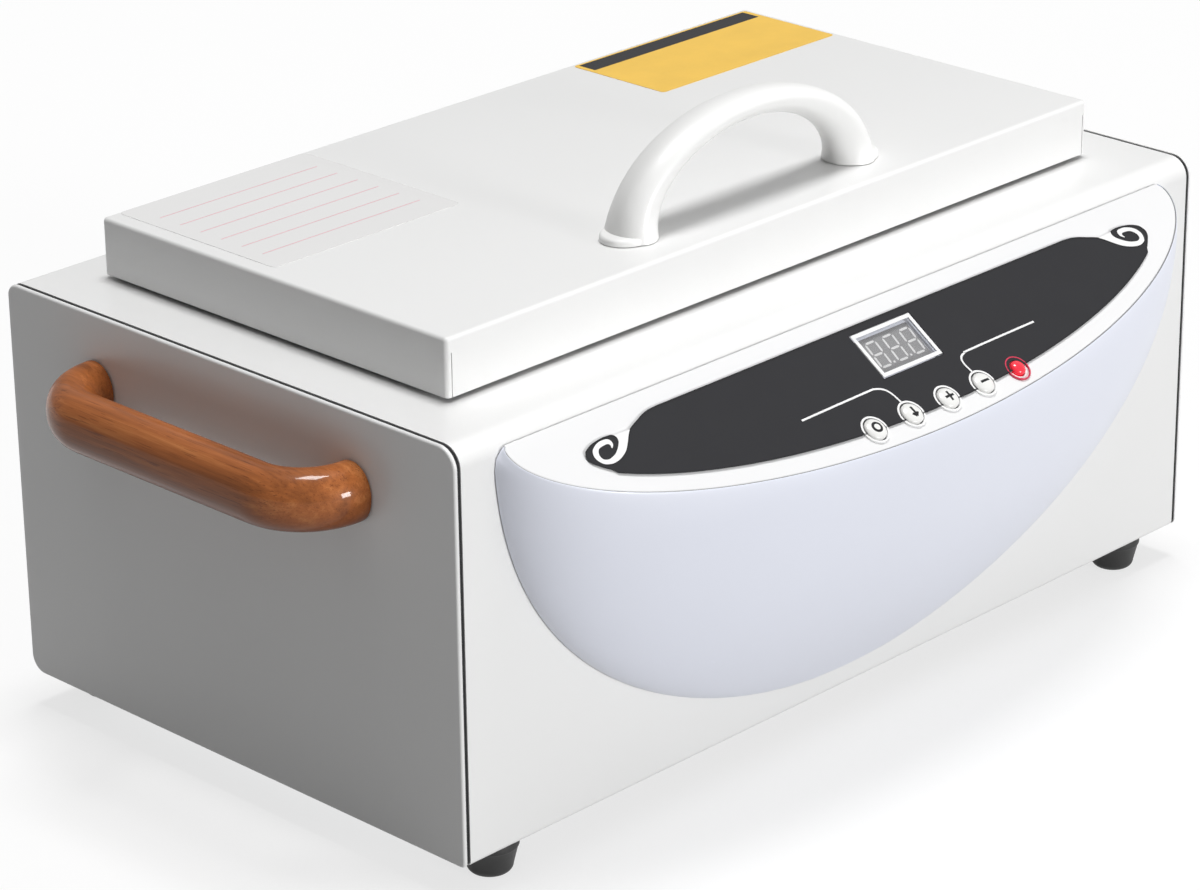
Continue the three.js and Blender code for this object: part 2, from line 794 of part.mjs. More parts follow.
function woodHandle(side) {
  const out = new THREE.Vector3(-1, 0, 0);
  const back = new THREE.Vector3(0, 1, 0);
  const start = -(halfLength + seatGap);
  const bendOut = start - (handleStandOff - handleBendRadius);
  const [frontEnd, rearEnd] = handleEnds;
  const frontCentre = new THREE.Vector3(bendOut, frontEnd + handleBendRadius, handleHeight);
  const rearCentre = new THREE.Vector3(bendOut, rearEnd - handleBendRadius, handleHeight);
  const knots = [
    new THREE.Vector3(start, frontEnd, handleHeight),
    ...arcKnots(frontCentre, handleBendRadius, back.clone().negate(), out, handleBendSteps),
    ...arcKnots(rearCentre, handleBendRadius, out, back, handleBendSteps),
    new THREE.Vector3(start, rearEnd, handleHeight),
  ];
  const boreSpan = [start - handleScrewReach, start + overrun];
  const bores = handleEnds.map((y) => (
    barX(handleScrew.shank + seatGap, boreSpan, y, handleHeight, screwSides)));
  return mirrored(cut(swept(handleSection(), knots), bores), side);
}

function woodHandleScrew(side, y) {
  const seat = -(halfLength - endSheet - seatGap);
  const reach = handleScrewReach - seatGap + endSheet + seatGap;
  const screw = screwProfile(handleScrew, reach).rotateY(-quarterTurn).translate(seat, y, handleHeight);
  return mirrored(screw, side);
}

function rubberFoot(place) {
  const profile = [
    [footRecessRadius, 0],
    [footBottomRadius - footRounding, 0],
    [footBottomRadius - footRounding / 4, footRounding / 3],
    [footBottomRadius, footRounding],
    [footTopRadius, footHeight - footRounding],
    [footTopRadius, footHeight - seatGap],
    [footScrew.shank + seatGap, footHeight - seatGap],
    [footScrew.shank + seatGap, footRecessDepth],
    [footRecessRadius, footRecessDepth],
    [footRecessRadius, 0],
  ];
  return turned(profile, roundSides).translate(place.x, place.y, 0);
}

function footScrewAt(place) {
  return screwProfile(footScrew, footScrewReach).translate(place.x, place.y, footRecessDepth - seatGap);
}

// The chamber tank: a drawn pan with a flange that rests on the cabinet's top
const tankFlangeBottom = cabinetTop + seatGap;
const tankFlangeTop = tankFlangeBottom + tankSheet;

function drawnPan(length, depth, radius, floorBend, z, bendSteps = 2) {
  const outline = roundedRectangle(length - 2 * floorBend, depth - 2 * floorBend, radius - floorBend / 2);
  const height = z[1] - z[0];
  const options = {
    depth: height,
    bevelEnabled: true,
    bevelThickness: floorBend,
    bevelSize: floorBend,
    bevelSegments: bendSteps,
    curveSegments: arcSegments,
  };
  const pan = new THREE.ExtrudeGeometry(outline, options).translate(0, lidCentre, z[0] + floorBend);
  return overlapOf(pan, block([-length, length], [0, cabinetDepth], z));
}

function chamberTank() {
  const outer = drawnPan(
    tankLength, tankDepth, tankCornerRadius, tankFloorBend,
    [tankUnderside, tankFlangeTop]);
  const inner = drawnPan(
    tankLength - 2 * tankSheet, tankDepth - 2 * tankSheet, tankCornerRadius, tankFloorBend,
    [tankFloor, tankFlangeTop + overrun]);
  const flange = alongZ(tankOutline(tankFlangeWidth), [tankFlangeBottom, tankFlangeTop])
    .translate(0, lidCentre, 0);
  return cut(join([outer, flange]), [inner]);
}

// The tubular element: four runs under the tank with three return bends
const elementRadius = 3.25;
const elementSides = 6;
const elementRunPitch = 30;
const elementBendSteps = 5;
const elementRunShares = [-1.5, -0.5, 0.5, 1.5];
const elementEndInset = 22;
const elementTailReach = 14;
const elementHeight = tankUnderside - seatGap - elementRadius;

function heatingElement() {
  const right = new THREE.Vector3(1, 0, 0);
  const left = new THREE.Vector3(-1, 0, 0);
  const back = new THREE.Vector3(0, 1, 0);
  const forward = new THREE.Vector3(0, -1, 0);
  const bendRadius = elementRunPitch / 2;
  const reach = tankLength / 2 - elementEndInset;
  const tail = tankLength / 2 + elementTailReach;
  const runs = elementRunShares.map((share) => lidCentre + share * elementRunPitch);
  const bend = (x, run, side) => {
    const centre = new THREE.Vector3(x, run + bendRadius, elementHeight);
    return [
      ...arcKnots(centre, bendRadius, forward, side, elementBendSteps),
      ...arcKnots(centre, bendRadius, side, back, elementBendSteps).slice(1),
    ];
  };
  const knots = [
    new THREE.Vector3(tail, runs[0], elementHeight),
    ...bend(-reach, runs[0], left),
    ...bend(reach, runs[1], right),
    ...bend(-reach, runs[2], left),
    new THREE.Vector3(tail, runs[3], elementHeight),
  ];
  return swept(disc(elementRadius, elementSides), knots);
}

const clampWidth = 12;
const clampSheet = 1.2;
const clampPlaceShare = 0.28;
const clampTabThickness = 2;
const clampOverhang = 8;

function elementClamp(side) {
  const top = elementHeight - elementRadius - seatGap;
  const x = around(side * clampPlaceShare * tankLength, clampWidth);
  const halfReach = elementRunShares[3] * elementRunPitch + elementRadius + clampOverhang;
  const bar = block(x, around(lidCentre, 2 * halfReach), [top - clampSheet, top]);
  const tabs = [-1, 1].map((end) => block(
    x,
    around(lidCentre + end * (halfReach - clampTabThickness / 2), clampTabThickness),
    [top - clampSheet / 2, tankUnderside - seatGap]));
  return join([bar, ...tabs]);
}

// The heat shield bridges the base plate and carries the insulation board
const shieldSheet = 0.9;
const shieldLength = 250;
const shieldFootWidth = 9;
const shieldInset = 3;
const shieldTop = 39;
const insulationTop = elementHeight - elementRadius - clampSheet - 3 * seatGap;
const insulationInset = 6;

function heatShield() {
  const x = around(0, shieldLength);
  const [front, rear] = [tankFront + shieldInset, tankRear - shieldInset];
  const bottom = baseTop + seatGap;
  const top = block(x, [front, rear], [shieldTop - shieldSheet, shieldTop]);
  const legs = [[front, front + shieldSheet], [rear - shieldSheet, rear]]
    .map((y) => block(x, y, [bottom, shieldTop]));
  const feet = [[front - shieldFootWidth, front + shieldSheet], [rear - shieldSheet, rear + shieldFootWidth]]
    .map((y) => block(x, y, [bottom, bottom + shieldSheet]));
  return join([top, ...legs, ...feet]);
}

function insulationBoard() {
  return block(
    around(0, shieldLength),
    widened([tankFront, tankRear], -insulationInset),
    [shieldTop + seatGap, insulationTop]);
}

// Electronics under the heat shield
const powerBoardLength = 110;
const powerBoardWidth = 70;
const powerBoardThickness = 1.6;
const powerBoardAcross = -45;
const pillarRadius = 3;
const pillarHeight = 4;
const pillarInset = 5;
const relayLength = 20;
const relayWidth = 15;
const relayHeight = 13;
const capacitorRadius = 5;
const capacitorHeight = 13;
const terminalLength = 30;
const terminalWidth = 8;
const terminalHeight = 9;
const triacWidth = 10;
const triacThickness = 4.5;
const triacHeight = 14;

function powerBoardPillars() {
  const [halfAlong, halfAcross] = [powerBoardLength / 2 - pillarInset, powerBoardWidth / 2 - pillarInset];
  return [-1, 1].flatMap((a) => [-1, 1].map((b) => ({
    x: powerBoardAcross + a * halfAlong,
    y: lidCentre + b * halfAcross,
  })));
}

function powerBoard() {
  const bottom = baseTop + pillarHeight + seatGap;
  const top = bottom + powerBoardThickness;
  const root = bottom + powerBoardThickness / 2;
  const [quarterAlong, quarterAcross] = [powerBoardLength / 4, powerBoardWidth / 4];
  return join([
    block(around(powerBoardAcross, powerBoardLength), around(lidCentre, powerBoardWidth), [bottom, top]),
    block(
      around(powerBoardAcross + quarterAlong, relayLength),
      around(lidCentre + quarterAcross, relayWidth),
      [root, top + relayHeight]),
    block(
      around(powerBoardAcross, triacWidth),
      around(lidCentre + quarterAcross, triacThickness),
      [root, top + triacHeight]),
    block(
      around(powerBoardAcross + quarterAlong, terminalLength),
      around(lidCentre - quarterAcross, terminalWidth),
      [root, top + terminalHeight]),
    barZ(capacitorRadius, powerBoardAcross - quarterAlong, lidCentre, [root, top + capacitorHeight]),
  ]);
}

// The small transformer beside the tank
const coreLength = 40;
const coreWidth = 16;
const coreHeight = 33;
const coilLength = 26;
const coilWidth = 21;
const coilHeight = 20;
const transformerDown = 74;

function transformer() {
  const bottom = baseTop + seatGap;
  const x = baseHalfLength - coilWidth / 2 - seatGap;
  const middle = bottom + coreHeight / 2;
  return join([
    block(around(x, coreWidth), around(transformerDown, coreLength), [bottom, bottom + coreHeight]),
    block(around(x, coilWidth), around(transformerDown, coilLength), around(middle, coilHeight)),
  ]);
}

// Sensor and cut-out on the tank's walls
const probeRadius = 2.5;
const probeLength = 36;
const probeBracketSheet = 1;
const probeBracketWidth = 12;
const probeBracketHeight = 16;
const probeAboveFloor = 30;
const probeAcross = -70;

function temperatureProbe() {
  const height = tankFloor + probeAboveFloor;
  const wall = tankRear + seatGap;
  return join([
    block(
      around(probeAcross, probeBracketWidth),
      [wall, wall + probeBracketSheet],
      around(height, probeBracketHeight)),
    barX(
      probeRadius, around(probeAcross, probeLength),
      wall + probeBracketSheet / 2 + probeRadius, height, screwSides),
  ]);
}

const cutOutRadius = 8;
const cutOutDepth = 9;
const cutOutCapRadius = 6;
const cutOutCapDepth = 3;
const cutOutTabWidth = 6.3;
const cutOutTabThickness = 0.8;
const cutOutTabLength = 8;
const cutOutTabPitch = 8;
const cutOutAboveFloor = 26;

function thermalCutOut() {
  const height = tankFloor + cutOutAboveFloor;
  const wall = tankLength / 2 + seatGap;
  const capEnd = wall + cutOutCapDepth;
  const bodyEnd = capEnd + cutOutDepth;
  const tabs = [-1, 1].map((side) => block(
    [bodyEnd - cutOutTabThickness, bodyEnd + cutOutTabLength],
    around(lidCentre + side * cutOutTabPitch / 2, cutOutTabThickness),
    around(height, cutOutTabWidth)));
  return join([
    barX(cutOutCapRadius, [wall, capEnd + cutOutTabThickness], lidCentre, height),
    barX(cutOutRadius, [capEnd, bodyEnd], lidCentre, height),
    ...tabs,
  ]);
}

// The mains inlet, pushed in from the rear, with its three pins
function powerInlet() {
  const face = cabinetDepth + seatGap + inletBezelThickness;
  const innerEnd = cabinetDepth - inletBodyDepth;
  const onWall = (shape, y) => alongZ(shape, [-y[1], -y[0]]).rotateX(quarterTurn)
    .translate(inletAcross, 0, inletHeightPlace);
  const bezel = roundedRectangle(
    inletWidth + 2 * inletBezelRim, inletHeight + 2 * inletBezelRim, inletCornerRadius);
  const body = roundedRectangle(inletWidth, inletHeight, inletCornerRadius);
  const socket = roundedRectangle(inletSocketWidth, inletSocketHeight, inletCornerRadius);
  const socketEnd = face - inletSocketDepth;
  const pin = (across, up) => block(
    around(inletAcross + across, inletPinThickness),
    [socketEnd - overrun / 2, socketEnd + inletPinLength],
    around(inletHeightPlace + up, inletPinHeight));
  const tab = (across, up) => block(
    around(inletAcross + across, inletTabWidth),
    [innerEnd - inletTabLength, innerEnd + overrun / 2],
    around(inletHeightPlace + up, inletTabThickness));
  const housing = cut(
    join([
      onWall(bezel, [cabinetDepth + seatGap, face]),
      onWall(body, [innerEnd, face - inletBezelThickness / 2]),
    ]),
    [onWall(socket, [socketEnd, face + overrun])]);
  return join([
    housing,
    pin(-inletPinPitch, inletPinOffset),
    pin(0, -inletPinOffset),
    pin(inletPinPitch, inletPinOffset),
    tab(-inletPinPitch, inletPinOffset),
    tab(0, -inletPinOffset),
    tab(inletPinPitch, inletPinOffset),
  ]);
}

// The instrument tray: a perforated pan with a rolled rim and two lift-out bails
const traySideClearance = 11;
const trayHeight = 36;
const traySheet = 1;
const trayCornerRadius = 8;
const trayFloorBend = 3;
const trayRimSize = 3;
const trayHoleRadius = 3.2;
const trayHoleSides = 6;
const trayHoleColumns = 10;
const trayHoleRows = 4;
const trayHoleMarginShare = 0.86;
const bailRadius = 1.5;
const bailSides = 6;
const bailSideMargin = 26.25;
const bailReach = 34;
const bailBendRadius = 9;
const bailBendSteps = 3;
const bailStub = 5;
const bailEndBend = 3;
const lugThickness = 2;
const lugReach = 9;
const lugHeight = 8;
const bailFromRim = 8;
const bailFromWall = 5.5;
const trayLength = tankLength - 2 * traySideClearance;
const trayDepth = tankDepth - 2 * traySideClearance;
const bailWidth = trayDepth - 2 * bailSideMargin;
const trayBottom = tankFloor + seatGap;
const trayTop = trayBottom + trayHeight;
const bailHeight = trayTop - bailFromRim;
const bailPivotAcross = trayLength / 2 - traySheet - bailFromWall;

function trayHoles() {
  const holes = [];
  const alongPitch = trayLength * trayHoleMarginShare / (trayHoleColumns - 1);
  const acrossPitch = trayDepth * (trayHoleMarginShare - trayHoleMarginShare / trayHoleColumns)
    / (trayHoleRows - 1);
  for (let column = 0; column < trayHoleColumns; column += 1) {
    for (let row = 0; row < trayHoleRows; row += 1) {
      holes.push(barZ(
        trayHoleRadius,
        (column - (trayHoleColumns - 1) / 2) * alongPitch,
        lidCentre + (row - (trayHoleRows - 1) / 2) * acrossPitch,
        [trayBottom - overrun, trayBottom + traySheet + overrun],
        trayHoleSides));
    }
  }
  return holes;
}

function instrumentTray() {
  const outer = drawnPan(trayLength, trayDepth, trayCornerRadius, trayFloorBend, [trayBottom, trayTop], 1);
  const inner = drawnPan(
    trayLength - 2 * traySheet, trayDepth - 2 * traySheet, trayCornerRadius, trayFloorBend,
    [trayBottom + traySheet, trayTop + overrun], 1);
  const rim = roundedRectangle(trayLength + 2 * trayRimSize, trayDepth + 2 * trayRimSize,
    trayCornerRadius + trayRimSize);
  const rimRing = alongZ(rim, [trayTop - trayRimSize, trayTop]).translate(0, lidCentre, 0);
  const lugs = [];
  for (const end of [-1, 1]) {
    for (const side of [-1, 1]) {
      const wall = end * (trayLength / 2 - traySheet / 2);
      const tip = wall - end * (lugReach + traySheet / 2);
      const y = lidCentre + side * (bailWidth / 2 + bailEndBend + seatGap + lugThickness / 2);
      const lug = block([Math.min(wall, tip), Math.max(wall, tip)], around(y, lugThickness),
        around(bailHeight, lugHeight));
      const bore = barY(
        bailRadius + seatGap, end * bailPivotAcross,
        around(y, lugThickness + 2 * overrun), bailHeight, screwSides);
      lugs.push(cut(lug, [bore]));
    }
  }
  const pan = cut(join([outer, rimRing]), [inner, ...trayHoles()]);
  return join([pan, ...lugs]);
}

// A bail lies folded inwards over the tray at rest
function trayBail(side) {
  const inward = new THREE.Vector3(1, 0, 0);
  const back = new THREE.Vector3(0, 1, 0);
  const forward = new THREE.Vector3(0, -1, 0);
  const outward = new THREE.Vector3(-1, 0, 0);
  const pivot = -bailPivotAcross;
  const pivotBend = pivot + bailEndBend;
  const tipBend = pivot + bailReach - bailBendRadius;
  const half = bailWidth / 2;
  const corner = (x, y) => new THREE.Vector3(x, lidCentre + y, bailHeight);
  const bend = (x, y, radius, first, second) => arcKnots(corner(x, y), radius, first, second, bailBendSteps);
  const knots = [
    corner(pivot, -half - bailEndBend - bailStub),
    ...bend(pivotBend, -half - bailEndBend, bailEndBend, outward, back),
    ...bend(tipBend, bailBendRadius - half, bailBendRadius, forward, inward),
    ...bend(tipBend, half - bailBendRadius, bailBendRadius, inward, back),
    ...bend(pivotBend, half + bailEndBend, bailEndBend, forward, outward),
    corner(pivot, half + bailEndBend + bailStub),
  ];
  return mirrored(swept(disc(bailRadius, bailSides), knots), side);
}

// The lid: a folded cover with a stainless liner, an insulation board and a gasket
const gasketWidth = 6;
const gasketThickness = 3;
const gasketOverhang = 2.5;
const linerSheet = 0.8;
const linerRimHeight = 10;
const gasketBottom = tankFlangeTop + seatGap;
const linerBottom = gasketBottom + gasketThickness + seatGap;
const linerTop = linerBottom + linerSheet;
const lidInnerTop = lidTop - lidSheet;

function lidBlank(grow, bend, z) {
  const width = lidLength + 2 * grow;
  const depth = lidDepth + 2 * grow;
  const radius = lidCornerRadius + grow;
  const outline = roundedRectangle(width - 2 * bend, depth - 2 * bend, radius - bend);
  const options = {
    depth: z[1] - z[0],
    bevelEnabled: true,
    bevelThickness: bend,
    bevelSize: bend,
    bevelSegments: 2,
    curveSegments: arcSegments,
  };
  const blank = new THREE.ExtrudeGeometry(outline, options).translate(0, lidCentre, z[0] - bend);
  return overlapOf(blank, block([-width, width], [-depth, 2 * cabinetDepth], z));
}

function lidShell() {
  const outer = lidBlank(0, lidEdgeBend, [lidBottom, lidTop]);
  const inner = lidBlank(-lidSheet, lidEdgeBend - lidSheet, [lidBottom - overrun, lidInnerTop]);
  const holes = lidScrewPlaces().map((x) => (
    barZ(lidScrew.shank + seatGap, x, lidHandleDown, [lidInnerTop - overrun, lidTop + overrun], screwSides)));
  return cut(outer, [inner, ...holes]);
}

function lidInside(inset) {
  const grow = lidSheet + inset;
  return roundedRectangle(lidLength - 2 * grow, lidDepth - 2 * grow, lidCornerRadius - lidSheet);
}

function lidLiner() {
  const outer = alongZ(lidInside(seatGap), [linerBottom, linerBottom + linerRimHeight]);
  const inner = alongZ(lidInside(seatGap + linerSheet), [linerTop, linerTop + linerRimHeight]);
  return cut(outer.translate(0, lidCentre, 0), [inner.translate(0, lidCentre, 0)]);
}

function lidInsulation() {
  const board = alongZ(lidInside(2 * seatGap + linerSheet), [linerTop + seatGap, lidInnerTop - seatGap]);
  const pocketRadius = lidScrew.head + 2 * seatGap;
  const pockets = lidScrewPlaces().map((x) => barZ(
    pocketRadius, x, lidHandleDown,
    [lidInnerTop - 2 * seatGap - lidScrew.headHeight - seatGap, lidInnerTop + overrun], screwSides));
  return cut(board.translate(0, lidCentre, 0), pockets);
}

function lidGasket() {
  const z = [gasketBottom, gasketBottom + gasketThickness];
  const outer = alongZ(tankOutline(gasketOverhang + gasketWidth / 2), z);
  const inner = alongZ(tankOutline(gasketOverhang - gasketWidth / 2), widened(z, overrun));
  return cut(outer.translate(0, lidCentre, 0), [inner.translate(0, lidCentre, 0)]);
}

// The arched lid handle: a bow between two half ellipses, whose oval section flares at the feet
const archOuterHalf = 60;
const archOuterRise = 36;
const archInnerHalf = 44;
const archInnerRise = 27;
const archWidth = 15;
const archSteps = 18;
const archSides = 14;
const archNarrowingShare = 0.14;
const archFlareShare = 0.3;
const archFlareExponentShare = 4;
const archFootAcross = 9.8;
const archFootDeep = 10;
const archFootHeight = 2;
const archFootTaper = 1.2;
const archFootOverhang = 4.2;
const archFootSides = 20;
const archBehindLidFront = 21;
const lidScrewReach = 11;
const lidHandleDown = lidFrontInset + archBehindLidFront;
const archBottom = lidTop + seatGap;

function lidScrewPlaces() {
  const middle = (archOuterHalf + archInnerHalf) / 2;
  return [-middle, middle];
}

// One section of the bow: narrower on its inner side, and deeper near the lid
function archSection(angle) {
  const outer = new THREE.Vector2(archOuterHalf * Math.cos(angle), archOuterRise * Math.sin(angle));
  const inner = new THREE.Vector2(archInnerHalf * Math.cos(angle), archInnerRise * Math.sin(angle));
  const flare = 1 + archFlareShare * (1 - Math.sin(angle)) ** archFlareExponentShare;
  const section = [];
  for (let i = 0; i < archSides; i += 1) {
    const turn = fullTurn * i / archSides;
    const narrowing = 1 + archNarrowingShare * Math.cos(turn);
    const deep = archWidth / 2 * flare * narrowing * Math.sin(turn);
    const at = inner.clone().lerp(outer, (1 + Math.cos(turn)) / 2);
    section.push(new THREE.Vector3(at.x, lidHandleDown + deep, archBottom + at.y));
  }
  return section;
}

// The low oval foot at the end of each leg
function archFoot(side) {
  return new THREE.CylinderGeometry(1 - archFootTaper / archFootAcross, 1, archFootHeight, archFootSides)
    .rotateX(quarterTurn)
    .scale(archFootAcross, archFootDeep, 1)
    .translate(
      side * (archOuterHalf + archFootOverhang - archFootAcross),
      lidHandleDown,
      archBottom + archFootHeight / 2);
}

function lidHandle() {
  const sections = [];
  for (let i = 0; i <= archSteps; i += 1) sections.push(archSection(halfTurn * i / archSteps));
  const bores = lidScrewPlaces().map((x) => barZ(
    lidScrew.shank + seatGap, x, lidHandleDown,
    [archBottom - overrun, archBottom + lidScrewReach], screwSides));
  return cut(join([lofted(sections), ...[-1, 1].map(archFoot)]), bores);
}

function lidHandleScrew(x) {
  const seat = lidInnerTop - seatGap;
  const reach = lidTop + lidScrewReach - seat - seatGap;
  return screwProfile(lidScrew, reach).translate(x, lidHandleDown, seat);
}

// Hinges behind the lid: a leaf on the cabinet's top, a leaf on the lid's rear wall and a pin
const hingeLength = 38;
const hingeFromLidEnd = 12;
const hingeSheet = 1.2;
const knuckleRadius = 3;
const hingePinRadius = 1.4;
const hingePinOverhang = 0.8;
const hingeLeafHeight = 14;
const knuckleNotchClearance = 0.22;
const hingeAxisBack = lidRear + seatGap + knuckleRadius;
const hingeAxisHeight = cabinetTop + seatGap + knuckleRadius;
const knuckleLength = hingeLength / 3;

function hingeCentre(side) {
  return side * (lidLength / 2 - hingeFromLidEnd - hingeLength / 2);
}

function knuckle(x) {
  return barX(knuckleRadius, x, hingeAxisBack, hingeAxisHeight);
}

function pinBore(x) {
  return barX(hingePinRadius + seatGap, widened(x, overrun), hingeAxisBack, hingeAxisHeight, screwSides);
}

function knuckleSpans(side) {
  const start = hingeCentre(side) - hingeLength / 2;
  return [0, 1, 2].map((index) => [
    start + index * knuckleLength + seatGap / 2,
    start + (index + 1) * knuckleLength - seatGap / 2,
  ]);
}

function hingeBodyLeaf(side) {
  const [first, middle, last] = knuckleSpans(side);
  const low = cabinetTop + seatGap;
  const rear = cabinetDepth - rearTopBend - seatGap;
  const clear = knuckleRadius + 2 * seatGap;
  const plate = block([first[0], last[1]], [hingeAxisBack, rear], [low, low + hingeSheet]);
  const slot = block(
    widened(middle, seatGap),
    [hingeAxisBack - overrun, hingeAxisBack + clear],
    [low - overrun, low + overrun]);
  return cut(join([cut(plate, [slot]), knuckle(first), knuckle(last)]), [pinBore([first[0], last[1]])]);
}

function hingeLidLeaf(side) {
  const [first, middle, last] = knuckleSpans(side);
  const near = lidRear + seatGap;
  const clear = knuckleRadius + 2 * seatGap;
  const plate = block(
    [first[0], last[1]], [near, near + hingeSheet], [hingeAxisHeight, hingeAxisHeight + hingeLeafHeight]);
  const slots = [first, last].map((span) => block(
    widened(span, knuckleNotchClearance),
    [near - overrun, near + overrun],
    [hingeAxisHeight - overrun, hingeAxisHeight + clear]));
  return cut(join([cut(plate, slots), knuckle(middle)]), [pinBore(middle)]);
}

function hingePin(side) {
  const spans = knuckleSpans(side);
  return barX(
    hingePinRadius, widened([spans[0][0], spans[2][1]], hingePinOverhang), hingeAxisBack, hingeAxisHeight,
    screwSides);
}

// Puts the whole together: the origin is at the middle of the footprint of everything, on the floor
const rearReach = cabinetDepth + seatGap + inletBezelThickness;
const cabinet = new THREE.Group();
cabinet.position.y = (fasciaReach - rearReach) / 2;

cabinet.add(piece('cabinet_wrapper', whiteEnamel, cabinetWrapper()));
cabinet.add(piece('base_plate', zincSteel, basePlate()));
for (const [end, side] of [['left', -1], ['right', 1]]) {
  cabinet.add(piece(`end_plate_${end}`, whiteEnamel, endPlate(side)));
  cabinet.add(piece(`wood_handle_${end}`, varnishedWood, woodHandle(side)));
  cabinet.add(piece(`wood_handle_screw_${end}_front`, zincSteel, woodHandleScrew(side, handleEnds[0])));
  cabinet.add(piece(`wood_handle_screw_${end}_rear`, zincSteel, woodHandleScrew(side, handleEnds[1])));
  cabinet.add(piece(`element_clamp_${end}`, zincSteel, elementClamp(side)));
  cabinet.add(piece(`tray_bail_${end}`, stainless, trayBail(side)));
  cabinet.add(piece(`hinge_${end}_body_leaf`, stainless, hingeBodyLeaf(side)));
  cabinet.add(piece(`hinge_${end}_lid_leaf`, stainless, hingeLidLeaf(side)));
  cabinet.add(piece(`hinge_${end}_pin`, stainless, hingePin(side)));
}
for (const place of footPlaces()) {
  cabinet.add(piece(`rubber_foot_${place.name}`, blackRubber, rubberFoot(place)));
  cabinet.add(piece(`foot_screw_${place.name}`, zincSteel, footScrewAt(place)));
}
cabinet.add(piece('fascia_shell', fasciaPlastic, fasciaShell()));
bossPlaces().forEach((place) => {
  const end = place.side < 0 ? 'left' : 'right';
  const row = place.height > lipHeight - fasciaReach / 2 ? 'upper' : 'lower';
  cabinet.add(piece(`fascia_screw_${end}_${row}`, zincSteel, fasciaScrewAt(place)));
});
cabinet.add(piece('chamber_tank', stainless, chamberTank()));
cabinet.add(piece('heating_element', heaterSheath, heatingElement()));
cabinet.add(piece('heat_shield', zincSteel, heatShield()));
cabinet.add(piece('insulation_board', glassFibre, insulationBoard()));
cabinet.add(piece('temperature_probe', stainless, temperatureProbe()));
cabinet.add(piece('thermal_cut_out', blackPlastic, thermalCutOut()));
cabinet.add(piece('power_inlet', blackPlastic, powerInlet()));
cabinet.add(piece('power_board', boardLaminate, powerBoard()));
cabinet.add(piece('transformer', coreSteel, transformer()));
cabinet.add(piece('instrument_tray', stainless, instrumentTray()));
cabinet.add(piece('lid_shell', whiteEnamel, lidShell()));
cabinet.add(piece('lid_liner', stainless, lidLiner()));
cabinet.add(piece('lid_insulation', glassFibre, lidInsulation()));
cabinet.add(piece('lid_gasket', silicone, lidGasket()));
cabinet.add(piece('lid_handle', handlePlastic, lidHandle()));
cabinet.add(piece('lid_handle_screw_left', zincSteel, lidHandleScrew(lidScrewPlaces()[0])));
cabinet.add(piece('lid_handle_screw_right', zincSteel, lidHandleScrew(lidScrewPlaces()[1])));

const panel = new THREE.Group();
panel.rotation.x = panelSlope;
panel.position.z = panelTop;
panel.add(piece('control_panel', panelPlastic, controlPanel()));
panel.add(piece('panel_overlay', overlayFilm, panelOverlay()));
panel.add(piece('display_window', windowPlastic, displayWindow()));
panel.add(piece('display_module', displayPlastic, displayModule()));
panel.add(piece('control_board', boardLaminate, controlBoard()));
for (const place of buttonPlaces()) {
  const look = place.name === 'timer_button' ? redButton : clearButton;
  panel.add(piece(place.name, look, pushButton(place)));
}
cabinet.add(panel);

const sterilizer = new THREE.Group();
sterilizer.add(cabinet);

export default sterilizer;
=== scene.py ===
"""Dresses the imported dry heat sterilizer: fine sheet metal, mouldings, wood, wire and print round the frame.

Every length is in metres in the frame's own axes: X along the cabinet, Y to the rear, Z up from the bench.
"""

import json
import logging
import math
from collections.abc import Callable, Iterable, Iterator, Sequence
from contextlib import contextmanager
from dataclasses import dataclass
from enum import Enum
from functools import cache
from typing import NamedTuple

import bmesh
import bpy
from mathutils import Matrix, Vector

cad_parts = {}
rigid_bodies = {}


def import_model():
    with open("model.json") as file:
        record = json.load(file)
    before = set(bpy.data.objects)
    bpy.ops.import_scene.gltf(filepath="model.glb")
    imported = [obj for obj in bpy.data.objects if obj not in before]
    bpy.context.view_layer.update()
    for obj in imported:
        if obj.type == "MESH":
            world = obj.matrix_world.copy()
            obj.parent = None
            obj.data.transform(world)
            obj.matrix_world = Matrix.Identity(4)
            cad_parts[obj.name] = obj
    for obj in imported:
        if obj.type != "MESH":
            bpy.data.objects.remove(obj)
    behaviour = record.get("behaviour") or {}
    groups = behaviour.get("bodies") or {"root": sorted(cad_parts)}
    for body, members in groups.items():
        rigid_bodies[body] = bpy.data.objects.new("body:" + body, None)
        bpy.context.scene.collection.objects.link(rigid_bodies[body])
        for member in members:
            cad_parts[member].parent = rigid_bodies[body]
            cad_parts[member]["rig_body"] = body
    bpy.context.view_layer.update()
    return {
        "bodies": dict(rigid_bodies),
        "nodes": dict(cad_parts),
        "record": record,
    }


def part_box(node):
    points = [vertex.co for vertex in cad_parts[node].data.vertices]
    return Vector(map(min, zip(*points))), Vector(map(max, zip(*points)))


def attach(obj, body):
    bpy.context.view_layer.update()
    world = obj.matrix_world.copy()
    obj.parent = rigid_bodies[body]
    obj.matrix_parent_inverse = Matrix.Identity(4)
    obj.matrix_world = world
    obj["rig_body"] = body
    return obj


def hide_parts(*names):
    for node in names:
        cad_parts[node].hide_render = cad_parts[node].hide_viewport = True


log = logging.getLogger("sterilizer")

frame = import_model()
RECORD_SLOTS = {entry["slot"] for entry in frame["record"]["materials"]}

MM = 0.001
DEGREE = math.pi / 180
QUARTER = math.pi / 2
UP = Vector((0, 0, 1)).freeze()
SKIN = 0.02 * MM
NEAR = 0.05 * MM
OVERRUN = 3 * MM
PARALLEL = 0.999

Pair = tuple[float, float]
Triple = tuple[float, float, float]
Point = Pair
Colour = Triple
Piece = bpy.types.Object
Test = Callable[[object], bool]


